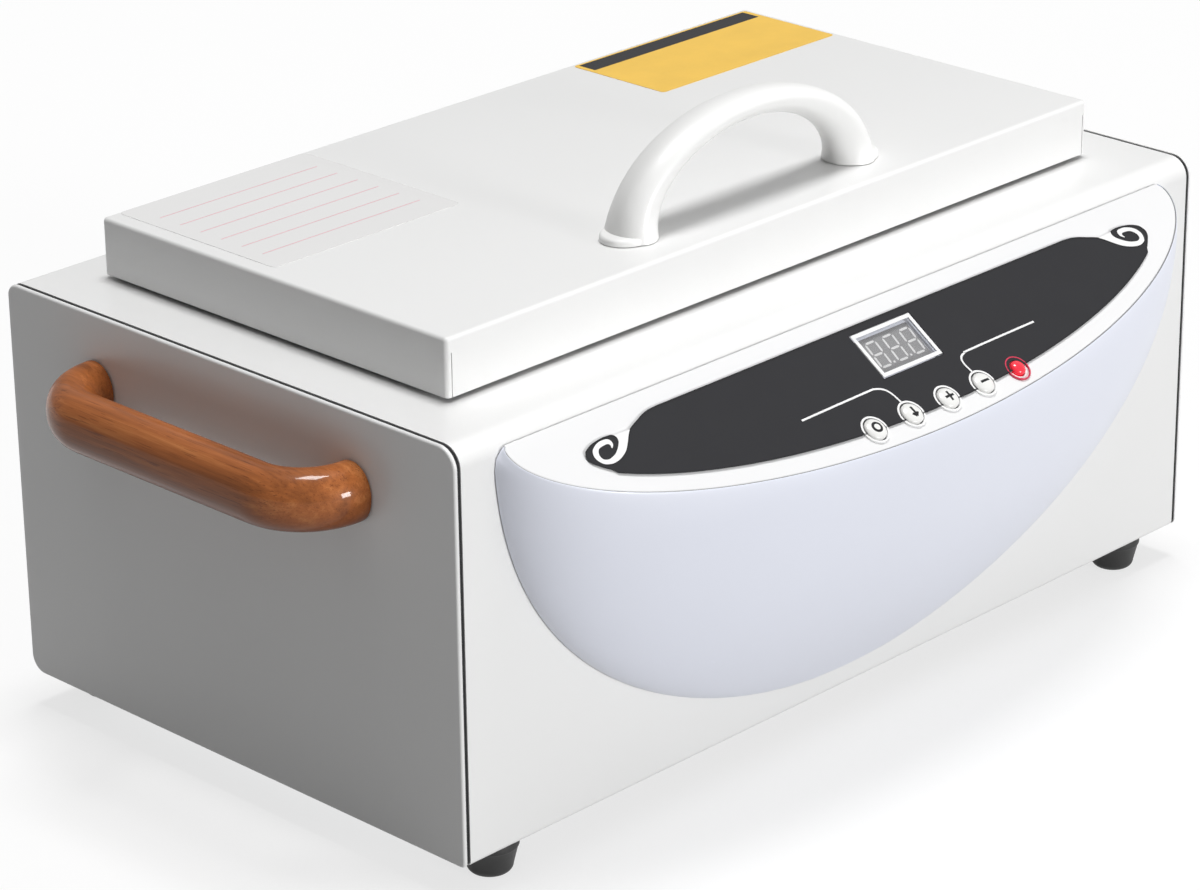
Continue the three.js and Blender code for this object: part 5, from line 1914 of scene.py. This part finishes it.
    def segment(self, start: Point, end: Point) -> Piece:
        """One bar of a digit, with pointed ends.

        Args:
            start: One end, across and up the slope.
            end: The other end.

        Returns:
            The bar in the panel's frame.
        """
        thin, full = 0.1 * self.digit_stroke, 1.6 * self.digit_stroke
        path = between(start, end, (0.0, 0.14, 0.86, 1.0))
        return self.ribbon("bar", path, [thin, full, full, thin], self.deck_top + 2 * SKIN)

    def dome_level(self, x: float, y: float) -> float:
        """Height of a button's crown at a place on it."""
        share = min((x * x + y * y) / self.button_radius ** 2, 1.0)
        return self.film_top + self.button_rise * math.sqrt(1 - share)

    def button(self, index: int) -> None:
        """One domed button with its mark.

        Args:
            index: The button's place in the row.
        """
        name, crown = self.button_names[index], self.cap_radius(index)
        radius, base, foot = self.collar
        profile = [(0.0, self.button_foot), (self.stem_radius, self.button_foot), (self.stem_radius, foot),
                   (radius, foot), (radius, base), (crown, base)]
        profile += arc((0.0, self.film_top), (crown, self.button_rise), 0.0, QUARTER, 16)
        body = f"{name}_button"
        place = self.on_panel @ Matrix.Translation((*self.button_at(index), 0.0))
        cap = put(turn(f"{body}_cap", profile), place)
        self.add(cap, body, "red_button" if name == "timer" else "clear_button", [body])
        strokes = self.marks().get(name)
        if strokes:
            mark = combine([self.draped(stroke) for stroke in strokes], f"{body}_mark")
            self.add(put(mark, place), body, "black_ink", smooth=False)

    def marks(self) -> dict[str, list[list[Point]]]:
        """The strokes of each button's mark.

        Returns:
            Each marked button's strokes, by its name.
        """
        long, head = self.mark_long, self.mark_head
        upright, level = [(0.0, long), (0.0, -long)], [(-long, 0.0), (long, 0.0)]
        return {
            "power": [arc((0.0, 0.0), (self.mark_ring, self.mark_ring), 0.0, 4 * QUARTER, 24)],
            "down": [upright, *([(side.value * head, -head / 2), upright[1]] for side in Side)],
            "plus": [upright, level],
            "minus": [level],
        }

    def draped(self, stroke: Sequence[Point]) -> Piece:
        """A stroke that follows a button's crown.

        Args:
            stroke: Its points, from the button's middle.

        Returns:
            The stroke.
        """
        path = []
        for start, end in zip(stroke, stroke[1:]):
            path += between(start, end, (0.0, 0.25, 0.5, 0.75))
        piece = self.ribbon("stroke", [*path, stroke[-1]], self.mark_line, 0.0)
        for point in piece.data.vertices:
            point.co.z += self.dome_level(point.co.x, point.co.y) - self.ink / 2
        return piece

    def annulus(self, place: Point, radii: Pair, low: float, high: float) -> Piece:
        """A flat ring on the panel."""
        profile = [(radii[0], low), (radii[1], low), (radii[1], high), (radii[0], high)]
        return put(turn("ring", profile, 64, ring=True), Matrix.Translation((*place, 0.0)))

    def printing(self) -> None:
        """The rings, the window's frame, the guide lines and the scrolls printed on the film."""
        level = self.film_top + self.ink
        white, red = [], []
        for index, name in enumerate(self.button_names):
            rings, radii = (red, self.timer_ring) if name == "timer" else (white, self.ring)
            rings.append(self.annulus(self.button_at(index), radii, SKIN, level))
        self.printed("button_ring_red", red, "red_ink")
        white += self.window_frame_lines()
        for guide in self.guides:
            path = [(across * MM, -down * MM) for across, down in flowing(guide, self.curve_steps)]
            white.append(self.ribbon("guide", path, self.guide_line, self.film_top))
        for side in Side:
            white.append(plate("band", self.band(side), SKIN, level + self.ink / 2))
        self.printed("panel_print_white", white, "white_ink")

    def printed(self, name: str, pieces: Sequence[Piece], finish: str) -> None:
        """Puts pieces of one finish, made in the panel's frame, on the panel."""
        self.add(put(combine(pieces, name), self.on_panel), "cabinet", finish, smooth=False)

    def window_frame_lines(self) -> list[Piece]:
        """The four bars round the window.

        Returns:
            The bars in the panel's frame.
        """
        (x, y), (width, height) = self.window_centre, self.window_size
        bar, lines = self.window_frame, []
        for way in (-1, 1):
            beside, over = x + way * (width - bar) / 2, y + way * (height - bar) / 2
            level = [(x - width / 2, over), (x + width / 2, over)]
            upright = [(beside, y - height / 2 + bar), (beside, y + height / 2 - bar)]
            lines += [self.ribbon("frame", path, bar, self.film_top) for path in (level, upright)]
        return lines

    def band(self, side: Side) -> list[Point]:
        """The white hook that is left out of the film at one end."""
        points = flowing(self.band_outside, self.curve_steps) + flowing(self.band_inside, self.curve_steps)
        return [(side.value * across * MM, -down * MM) for across, down in points]


@dataclass
class Chamber(Assembly):
    """The drawn tank, the perforated tray and its two bails."""

    sheet: float = 0.8 * MM
    corner: float = 14 * MM
    floor_bend: float = 6 * MM
    flange: float = 7 * MM
    flange_bend: float = 0.3 * MM
    tray_sheet: float = 1 * MM
    tray_corner: float = 8 * MM
    tray_bend: float = 3 * MM
    tray_rim: float = 3 * MM
    rim_round: float = 0.47
    hole_radius: float = 3.2 * MM
    hole_columns: int = 10
    hole_rows: int = 4
    hole_share: float = 0.86
    lug: Triple = (9 * MM, 2 * MM, 8 * MM)
    lug_round: float = 0.4
    bail_radius: float = 1.5 * MM
    bail_bend: float = 9 * MM
    bail_end_bend: float = 3 * MM
    bail_stub: float = 5 * MM
    bail_from_rim: float = 8 * MM
    seat_gap: float = 0.3 * MM

    def build(self) -> None:
        """Builds the tank and what is in it."""
        self.tank()
        self.tray()
        for side in Side:
            self.bail(side)

    def tank(self) -> None:
        """The deep-drawn tank with its flange."""
        low, high = box_of("chamber_tank")
        radii = (self.corner + self.flange, self.flange_bend)
        flange = pan("flange", (low.x, low.y, high.z - self.sheet), high, radii, high.z, 14)
        grow = Vector((self.flange, self.flange, 0.0))
        corner, bend = self.corner, self.floor_bend
        tank = pan("chamber_tank_pressing", low + grow, high - grow, (corner, bend), low.z, 14)
        fuse(tank, flange)
        radii = (corner - self.sheet, bend - self.sheet)
        hollow(tank, (low + grow, high - grow), self.sheet, radii, True, 14)
        self.add(tank, "cabinet", "stainless", ["chamber_tank"])

    def tray(self) -> None:
        """The perforated tray with its rolled rim and four lugs."""
        low, high = box_of("instrument_tray")
        curl, level = self.tray_rim * self.rim_round, high.z - self.tray_rim
        radii = (self.tray_corner + self.tray_rim, curl)
        rim = pan("rim", (low.x, low.y, level), high, radii, high.z)
        round_edges(rim, edge_on(2, level), curl, 5)
        grow = Vector((self.tray_rim, self.tray_rim, 0.0))
        low, high = low + grow, high - grow
        below_rim = high - UP * self.tray_rim / 4
        corner, bend = self.tray_corner, self.tray_bend
        tray = pan("instrument_tray_pressing", low, below_rim, (corner, bend), low.z)
        fuse(tray, rim)
        radii = (corner - self.tray_sheet, bend - self.tray_sheet)
        hollow(tray, (low, high), self.tray_sheet, radii, True)
        cut(tray, self.hole_tools(low, high))
        self.add(combine([tray, *self.lugs(low, high)]), "tray", "stainless", ["instrument_tray"])

    def hole_tools(self, low: Vector, high: Vector) -> list[Piece]:
        """The tools that pierce the tray's floor.

        Args:
            low: The lowest corner of the tray's box, without its rim.
            high: The highest corner.

        Returns:
            The tools, column by column.
        """
        centre = (low + high) / 2
        along = (high.x - low.x) * self.hole_share / (self.hole_columns - 1)
        share = self.hole_share - self.hole_share / self.hole_columns
        across = (high.y - low.y) * share / (self.hole_rows - 1)
        tools = []
        for column in range(self.hole_columns):
            for row in range(self.hole_rows):
                x = centre.x + (column - (self.hole_columns - 1) / 2) * along
                y = centre.y + (row - (self.hole_rows - 1) / 2) * across
                ends = ((x, y, low.z - OVERRUN), (x, y, low.z + self.tray_sheet + OVERRUN))
                tools.append(rod("hole", *ends, self.hole_radius, 28))
        return tools

    def bail_width(self) -> float:
        """The width between the outsides of a bail's legs."""
        low, high = box_of("tray_bail_left")
        return high.y - low.y - 2 * (self.bail_stub + self.bail_end_bend)

    def lugs(self, low: Vector, high: Vector) -> list[Piece]:
        """The pierced lugs that hold the bails.

        Args:
            low: The lowest corner of the tray's box, without its rim.
            high: The highest corner.

        Returns:
            The four lugs.
        """
        reach, thick, tall = self.lug
        level, made = high.z - self.bail_from_rim, []
        out = self.bail_width() / 2 + self.bail_end_bend + self.seat_gap + thick / 2
        for end in Side:
            bail_low, bail_high = box_of(f"tray_bail_{end.word}")
            pivot = end.span(bail_low.x + self.bail_radius, bail_high.x - self.bail_radius)[1]
            wall = end.span(low.x, high.x)[1] - end.value * self.tray_sheet / 2
            tip = wall - end.value * (reach + self.tray_sheet / 2)
            for side in Side:
                y = (low.y + high.y) / 2 + side.value * out
                lug = box("lug", (min(wall, tip), y - thick / 2, level - tall / 2),
                                (max(wall, tip), y + thick / 2, level + tall / 2))
                for z in (level - tall / 2, level + tall / 2):
                    round_edges(lug, edge_along(1, tip, None, z), tall * self.lug_round, 6)
                ends = ((pivot, y - thick, level), (pivot, y + thick, level))
                cut(lug, [rod("bore", *ends, self.bail_radius + self.seat_gap, 24)])
                made.append(lug)
        return made

    def bail(self, side: Side) -> None:
        """One wire bail, folded in over the tray.

        Args:
            side: The end of the tray that it is on.
        """
        node = f"tray_bail_{side.word}"
        low, high = box_of(node)
        radius, bend, end_bend = self.bail_radius, self.bail_bend, self.bail_end_bend
        far, near = side.span(low.x + radius, high.x - radius)
        front, rear = low.y + self.bail_stub + end_bend, high.y - self.bail_stub - end_bend
        corners = [Vector((x, y, (low.z + high.z) / 2)) for x, y in (
            (near, low.y), (near, front), (far, front), (far, rear), (near, rear), (near, high.y))]
        path = bent_path(corners, (end_bend, bend, bend, end_bend), 8)
        piece = sweep(f"{node}_wire", path, lambda _: oval(radius, radius, 16))
        self.add(piece, f"bail_{side.word}", "stainless", [node])


@dataclass
class Lid(Assembly):
    """The folded lid with its liner, gasket, arched handle, hinges and labels."""

    sheet: float = 1 * MM
    corner: float = 4.5 * MM
    cover_corner: float = 1.7 * MM
    edge_bend: float = 1.3 * MM
    seam: Triple = (0.35 * MM, 0.8 * MM, 5 * MM)
    liner_sheet: float = 0.8 * MM
    liner_bend: float = 1.2 * MM
    liner_inner_bend: float = 0.5 * MM
    gasket_width: float = 6 * MM
    gasket_corner: float = 19.5 * MM
    gasket_edge: float = 0.9 * MM
    arch_outer: Pair = (60 * MM, 36 * MM)
    arch_inner: Pair = (44 * MM, 27 * MM)
    arch_width: float = 15 * MM
    arch_narrowing: float = 0.14
    arch_flare: float = 0.3
    arch_steps: int = 72
    arch_sides: int = 40
    arch_foot: Triple = (9.8 * MM, 8.6 * MM, 2.2 * MM)
    arch_foot_place: float = 54.4 * MM
    arch_foot_round: Pair = (0.12, 0.55)
    knuckle_radius: float = 3 * MM
    knuckle_edge: float = 0.3 * MM
    pin_radius: float = 1.4 * MM
    pin_edge: float = 0.35 * MM
    leaf_corner: float = 2.5 * MM
    leaf_edge: float = 0.2 * MM
    leaf_notch: float = 0.4
    web_height: float = 0.6
    hinge_sheet: float = 1.2 * MM
    hinge_gap: float = 0.3 * MM
    film_area: tuple[Point, Point] = ((-149 * MM, 28 * MM), (-67 * MM, 104 * MM))
    card_area: tuple[Point, Point] = ((62 * MM, 58.6 * MM), (153 * MM, 103 * MM))
    label_corners: Pair = (2 * MM, 1.5 * MM)
    label_face: float = 0.12 * MM
    label_ink: Pair = (0.11 * MM, 0.14 * MM)
    rule_count: int = 6
    rule_pitch: float = 10 * MM
    rule_width: float = 0.35 * MM
    rule_margin: Triple = (6 * MM, 12 * MM, 7 * MM)
    card_band: Triple = (2 * MM, 11 * MM, 3 * MM)

    def build(self) -> None:
        """Builds the lid and its hinges."""
        self.cover()
        self.liner()
        self.gasket()
        self.handle()
        for side in Side:
            self.hinge(side)
        self.labels()

    def cover(self) -> None:
        """The folded cover."""
        low, high = box_of("lid_shell")
        corner, bend = self.cover_corner, self.edge_bend
        cover = pan("lid_cover", low, high, (corner, bend), high.z)
        hollow(cover, (low, high), self.sheet, (corner - self.sheet, bend - self.sheet), False)
        cut(cover, self.seam_tools(low, high))
        self.add(cover, "lid", "white_enamel", ["lid_shell"])

    def seam_tools(self, low: Vector, high: Vector) -> list[Piece]:
        """The tools that leave a fine open seam beside each folded corner.

        Args:
            low: The cover's lowest corner.
            high: Its highest corner.

        Returns:
            The four tools.
        """
        width, deep, short = self.seam
        tools = []
        for side in Side:
            x = side.value * (high.x - self.cover_corner - width)
            for y, way in ((low.y, 1), (high.y, -1)):
                start, end = sorted((y - way * OVERRUN, y + way * deep))
                tools.append(box(
                    "seam", (x - width / 2, start, low.z - OVERRUN), (x + width / 2, end, high.z - short)))
        return tools

    def liner(self) -> None:
        """The pressed stainless liner under the lid."""
        low, high = box_of("lid_liner")
        corner, wall = self.corner - self.sheet, self.liner_sheet
        liner = pan("lid_liner_pressing", low, high, (corner, self.liner_bend), low.z)
        hollow(liner, (low, high), wall, (corner - wall, self.liner_inner_bend), True)
        self.add(liner, "lid", "stainless", ["lid_liner"])

    def gasket(self) -> None:
        """The silicone gasket, a rounded ring on the liner."""
        low, high = box_of("lid_gasket")
        radii = (self.gasket_corner, self.gasket_edge)
        ring = pan("lid_gasket_ring", low, high, radii, low.z, 14)
        inset = Vector((self.gasket_width, self.gasket_width, -OVERRUN))
        corner = self.gasket_corner - self.gasket_width
        cut(ring, [block("inside", low + inset, high - inset, corner, 2, 14)])
        self.add(ring, "lid", "silicone", ["lid_gasket"])

    def handle(self) -> None:
        """The moulded arch, whose oval section flares at two low oval feet."""
        low, high = box_of("lid_handle")
        y, base = (low.y + high.y) / 2, low.z
        rings = []
        for step in range(self.arch_steps + 1):
            angle = math.pi * step / self.arch_steps
            c, s = math.cos(angle), math.sin(angle)
            outer, inner = (Vector((across * c, y, base + tall * s)) for across, tall in (
                self.arch_outer, self.arch_inner))
            half = self.arch_width / 2 * (1 + self.arch_flare * (1 - s) ** 4)
            ring = []
            for share, side in arc((0.5, 0.0), (0.5, 1.0), 0.0, 4 * QUARTER, self.arch_sides)[:-1]:
                deep = half * (1 + self.arch_narrowing * (2 * share - 1)) * side
                ring.append(inner.lerp(outer, share) + Vector((0, deep, 0)))
            rings.append(ring)
        pieces = [loft("lid_handle_arch", rings)]
        across, deep, tall = self.arch_foot
        edge, fall = self.arch_foot_round
        profile = [(0.0, 0.0), (1.0, 0.0)]
        profile += arc((1 - edge, tall * (1 - fall)), (edge, tall * fall), 0.0, QUARTER, 8)
        for side in Side:
            place = Matrix.Translation((side.value * self.arch_foot_place, y, base))
            foot = turn("foot", [*profile, (0.0, tall)], 64)
            pieces.append(put(foot, place @ Matrix.Diagonal((across, deep, 1, 1))))
        self.add(combine(pieces), "lid", "handle_plastic", ["lid_handle"])

    def hinge(self, side: Side) -> None:
        """One hinge: two leaves, their knuckles and the pin.

        Args:
            side: The end that it is nearest to.
        """
        base, radius, sheet = f"hinge_{side.word}", self.knuckle_radius, self.hinge_sheet
        pin_low, pin_high = box_of(f"{base}_pin")
        y, z = (pin_low.y + pin_high.y) / 2, (pin_low.z + pin_high.z) / 2
        low, high = box_of(f"{base}_body_leaf")
        gap, third = self.hinge_gap / 2, (high.x - low.x) / 3
        starts = [low.x + third * index + gap for index in range(3)]

        def knuckle(index: int) -> Piece:
            """One of the three knuckles on the pin."""
            start = starts[index]
            roll = rod("knuckle", (start, y, z), (start + third - 2 * gap, y, z), radius, 40)
            soften(roll, self.knuckle_edge, 60 * DEGREE)
            return roll

        leaf = box(f"{base}_body_leaf_plate", (low.x, y + radius * self.leaf_notch, low.z),
                   (high.x, high.y, low.z + sheet))
        round_edges(leaf, edge_along(2, None, high.y, None), self.leaf_corner, 6)
        soften(leaf, self.leaf_edge)
        leaf = combine([leaf, knuckle(0), knuckle(2)])
        self.add(leaf, "cabinet", "stainless", [f"{base}_body_leaf"])
        low, high = box_of(f"{base}_lid_leaf")
        leaf = box(f"{base}_lid_leaf_plate", (low.x, low.y, z + radius * self.web_height + 2 * gap),
                   (high.x, low.y + sheet, high.z))
        web = box("web", (starts[1], low.y + SKIN, z),
                  (starts[1] + third - 2 * gap, low.y + sheet - SKIN, z + radius * 2))
        soften(leaf, self.leaf_edge)
        leaf = combine([leaf, web, knuckle(1)])
        self.add(leaf, "lid", "stainless", [f"{base}_lid_leaf"])
        pin = rod(f"{base}_pin_rod", (pin_low.x, y, z), (pin_high.x, y, z), self.pin_radius)
        soften(pin, self.pin_edge, 60 * DEGREE, 3)
        self.add(pin, frame["nodes"][f"{base}_pin"]["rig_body"], "stainless", [f"{base}_pin"])

    def labels(self) -> None:
        """The two films on the lid, one with fine rules and one with a dark band."""
        top, rear = box_of("lid_shell")[1].z, box_of("lid_shell")[1].y
        places = (("lid_film", self.film_area, "clear_film"), ("lid_card", self.card_area, "yellow_film"))
        for (name, (start, end), finish), corner in zip(places, self.label_corners):
            low, high = (*start, top + SKIN), (*end, top + self.label_face)
            self.add(block(name, low, high, corner, 2, 6), "lid", finish)
        under, face = (top + level for level in self.label_ink)
        beside, above, short = self.rule_margin
        (left, front), (right, _) = self.film_area
        rules = []
        for index in range(self.rule_count):
            y = front + above + self.rule_pitch * index
            rules.append(box(
                "rule", (left + beside, y, under), (right - short, y + self.rule_width, face)))
        self.add(combine(rules, "lid_film_rules"), "lid", "pink_ink", smooth=False)
        beside, deep, above = self.card_band
        left, right = self.card_area[0][0] + beside, self.card_area[1][0] - beside
        band = box("lid_card_band", (left, rear - deep, under), (right, rear - above, face))
        self.add(band, "lid", "black_ink", smooth=False)


@dataclass
class Insides(Assembly):
    """The pieces that keep their solids: they get their finish only."""

    def build(self) -> None:
        """Gives every shown CAD node the finish of its slot."""
        finishes = {entry["node"]: entry["material_slot"] for entry in frame["record"]["subparts"]}
        for name, node in frame["nodes"].items():
            if not node.hide_render:
                slots = node.data.materials
                for index in range(len(slots)):
                    slots[index] = self.book.material(finishes[name])
                log.info("%s: %s", name, finishes[name])


@dataclass
class Studio:
    """The floor, the lamps, the world and the camera."""

    floor_size: float = 30.0
    floor_bounce: float = 0.34
    floor_colour: Colour = (0.97, 0.97, 0.97)
    camera_share: float = 0.72
    lamp_distance: float = 5.0
    lamps: tuple[tuple[str, Triple, float, float], ...] = (
        ("front", (0.08, -0.98, 0.115), 1.1, 0.575),
        ("top", (0.06, 0.02, 1.0), 1.4, 0.70),
    )
    world_strength: float = 0.165
    world_side: Triple = (0.58, -0.60, 0.55)
    world_tilt: float = 0.26
    world_least: float = 0.01
    world_gloss: float = 0.45
    place: Triple = (-0.99243, -0.94045, 0.64923)
    right: Triple = (0.69616936, -0.71778934, -0.01125565)
    up: Triple = (0.28516093, 0.26211484, 0.92194309)
    lens: float = 129.89
    sensor: float = 36.0
    white: Colour = (1.0, 1.0, 1.0)

    def build(self) -> None:
        """Builds the studio."""
        self.floor()
        self.world()
        for lamp in self.lamps:
            self.lamp(*lamp)
        self.camera()
        bpy.context.scene.view_settings.view_transform = "Standard"

    @staticmethod
    def rays(painter: Painter) -> list[Signal]:
        """One for each ray from the camera, from a mirror or through glass, and zero for the rest."""
        kinds = ("Camera", "Glossy", "Transmission")
        return [painter.node("ShaderNodeLightPath", out=f"Is {kind} Ray") for kind in kinds]

    def floor(self) -> None:
        """A plain pale floor that looks near white, and keeps the shadow."""
        clear_selection()
        bpy.ops.mesh.primitive_plane_add(size=self.floor_size)
        floor = bpy.context.object
        floor.name = "studio_floor"
        material = new_material("studio_floor")
        painter = Painter(material.node_tree)
        camera, glossy, through = self.rays(painter)
        seen = (camera + glossy + through).above(0.5)
        colour = painter.mix(seen, (self.floor_bounce,) * 3, self.floor_colour)
        diffuse = painter.node("ShaderNodeBsdfDiffuse", {}, {"Color": colour})
        light = painter.node("ShaderNodeEmission", {}, {"Color": self.white})
        both = painter.node("ShaderNodeMixShader", {}, {0: seen * self.camera_share, 1: diffuse, 2: light})
        painter.feed_node("Material Output", {"Surface": both})
        floor.data.materials.append(material)

    def world(self) -> None:
        """A soft light that is dimmer on the left, and white behind everything."""
        world = bpy.data.worlds.new("studio")
        world.use_nodes = True
        bpy.context.scene.world = world
        painter = Painter(world.node_tree)
        camera, glossy, through = self.rays(painter)
        share = camera + through + glossy * self.world_gloss
        sockets = {0: painter.node("ShaderNodeTexCoord", out="Generated"), 1: self.world_side}
        side = painter.node("ShaderNodeVectorMath", {"operation": "DOT_PRODUCT"}, sockets, out="Value")
        sockets = {0: side * self.world_tilt + self.world_strength, 1: self.world_least}
        soft = painter.node("ShaderNodeMath", {"operation": "MAXIMUM"}, sockets)
        painter.feed_node("Background", {"Color": self.white, "Strength": soft + share * (1.0 - soft)})

    def lamp(self, name: str, way: Sequence[float], size: float, strength: float) -> None:
        """A square softbox.

        Args:
            name: The lamp's name.
            way: The direction from the object to the lamp.
            size: Its side.
            strength: The brightness that it alone gives a white face turned to it.
        """
        data = bpy.data.lights.new(name, "AREA")
        data.shape = "SQUARE"
        data.size = size
        data.energy = strength * (math.pi * self.lamp_distance) ** 2
        lamp = lay_out(name, data)
        towards = Vector(way).normalized()
        lamp.location = towards * self.lamp_distance
        lamp.rotation_euler = towards.to_track_quat("Z", "Y").to_euler()

    def camera(self) -> None:
        """The camera at the photograph's angle."""
        data = bpy.data.cameras.new("photo_camera")
        data.lens = self.lens
        data.sensor_width = self.sensor
        data.sensor_fit = "HORIZONTAL"
        camera = lay_out("photo_camera", data)
        right, up = Vector(self.right), Vector(self.up)
        axes = Matrix((right, up, right.cross(up))).transposed().to_4x4()
        camera.matrix_world = Matrix.Translation(self.place) @ axes
        bpy.context.scene.camera = camera


def clear_default_scene() -> None:
    """Removes what the empty file starts with."""
    kept = set(frame["nodes"].values()) | set(frame["bodies"].values())
    for item in list(bpy.data.objects):
        if item not in kept:
            bpy.data.objects.remove(item, do_unlink=True)


def main() -> None:
    """Builds the sterilizer, then the studio."""
    logging.basicConfig(level=logging.INFO, format="%(relativeCreated)d %(name)s: %(message)s")
    clear_default_scene()
    book = FinishBook()
    for assembly in (Cabinet(book), WoodGrips(book), Fascia(book), Chamber(book), Lid(book), Insides(book)):
        assembly.build()
        log.info("%s is done", type(assembly).__name__)
    Studio().build()


if __name__ == "__main__":
    main()
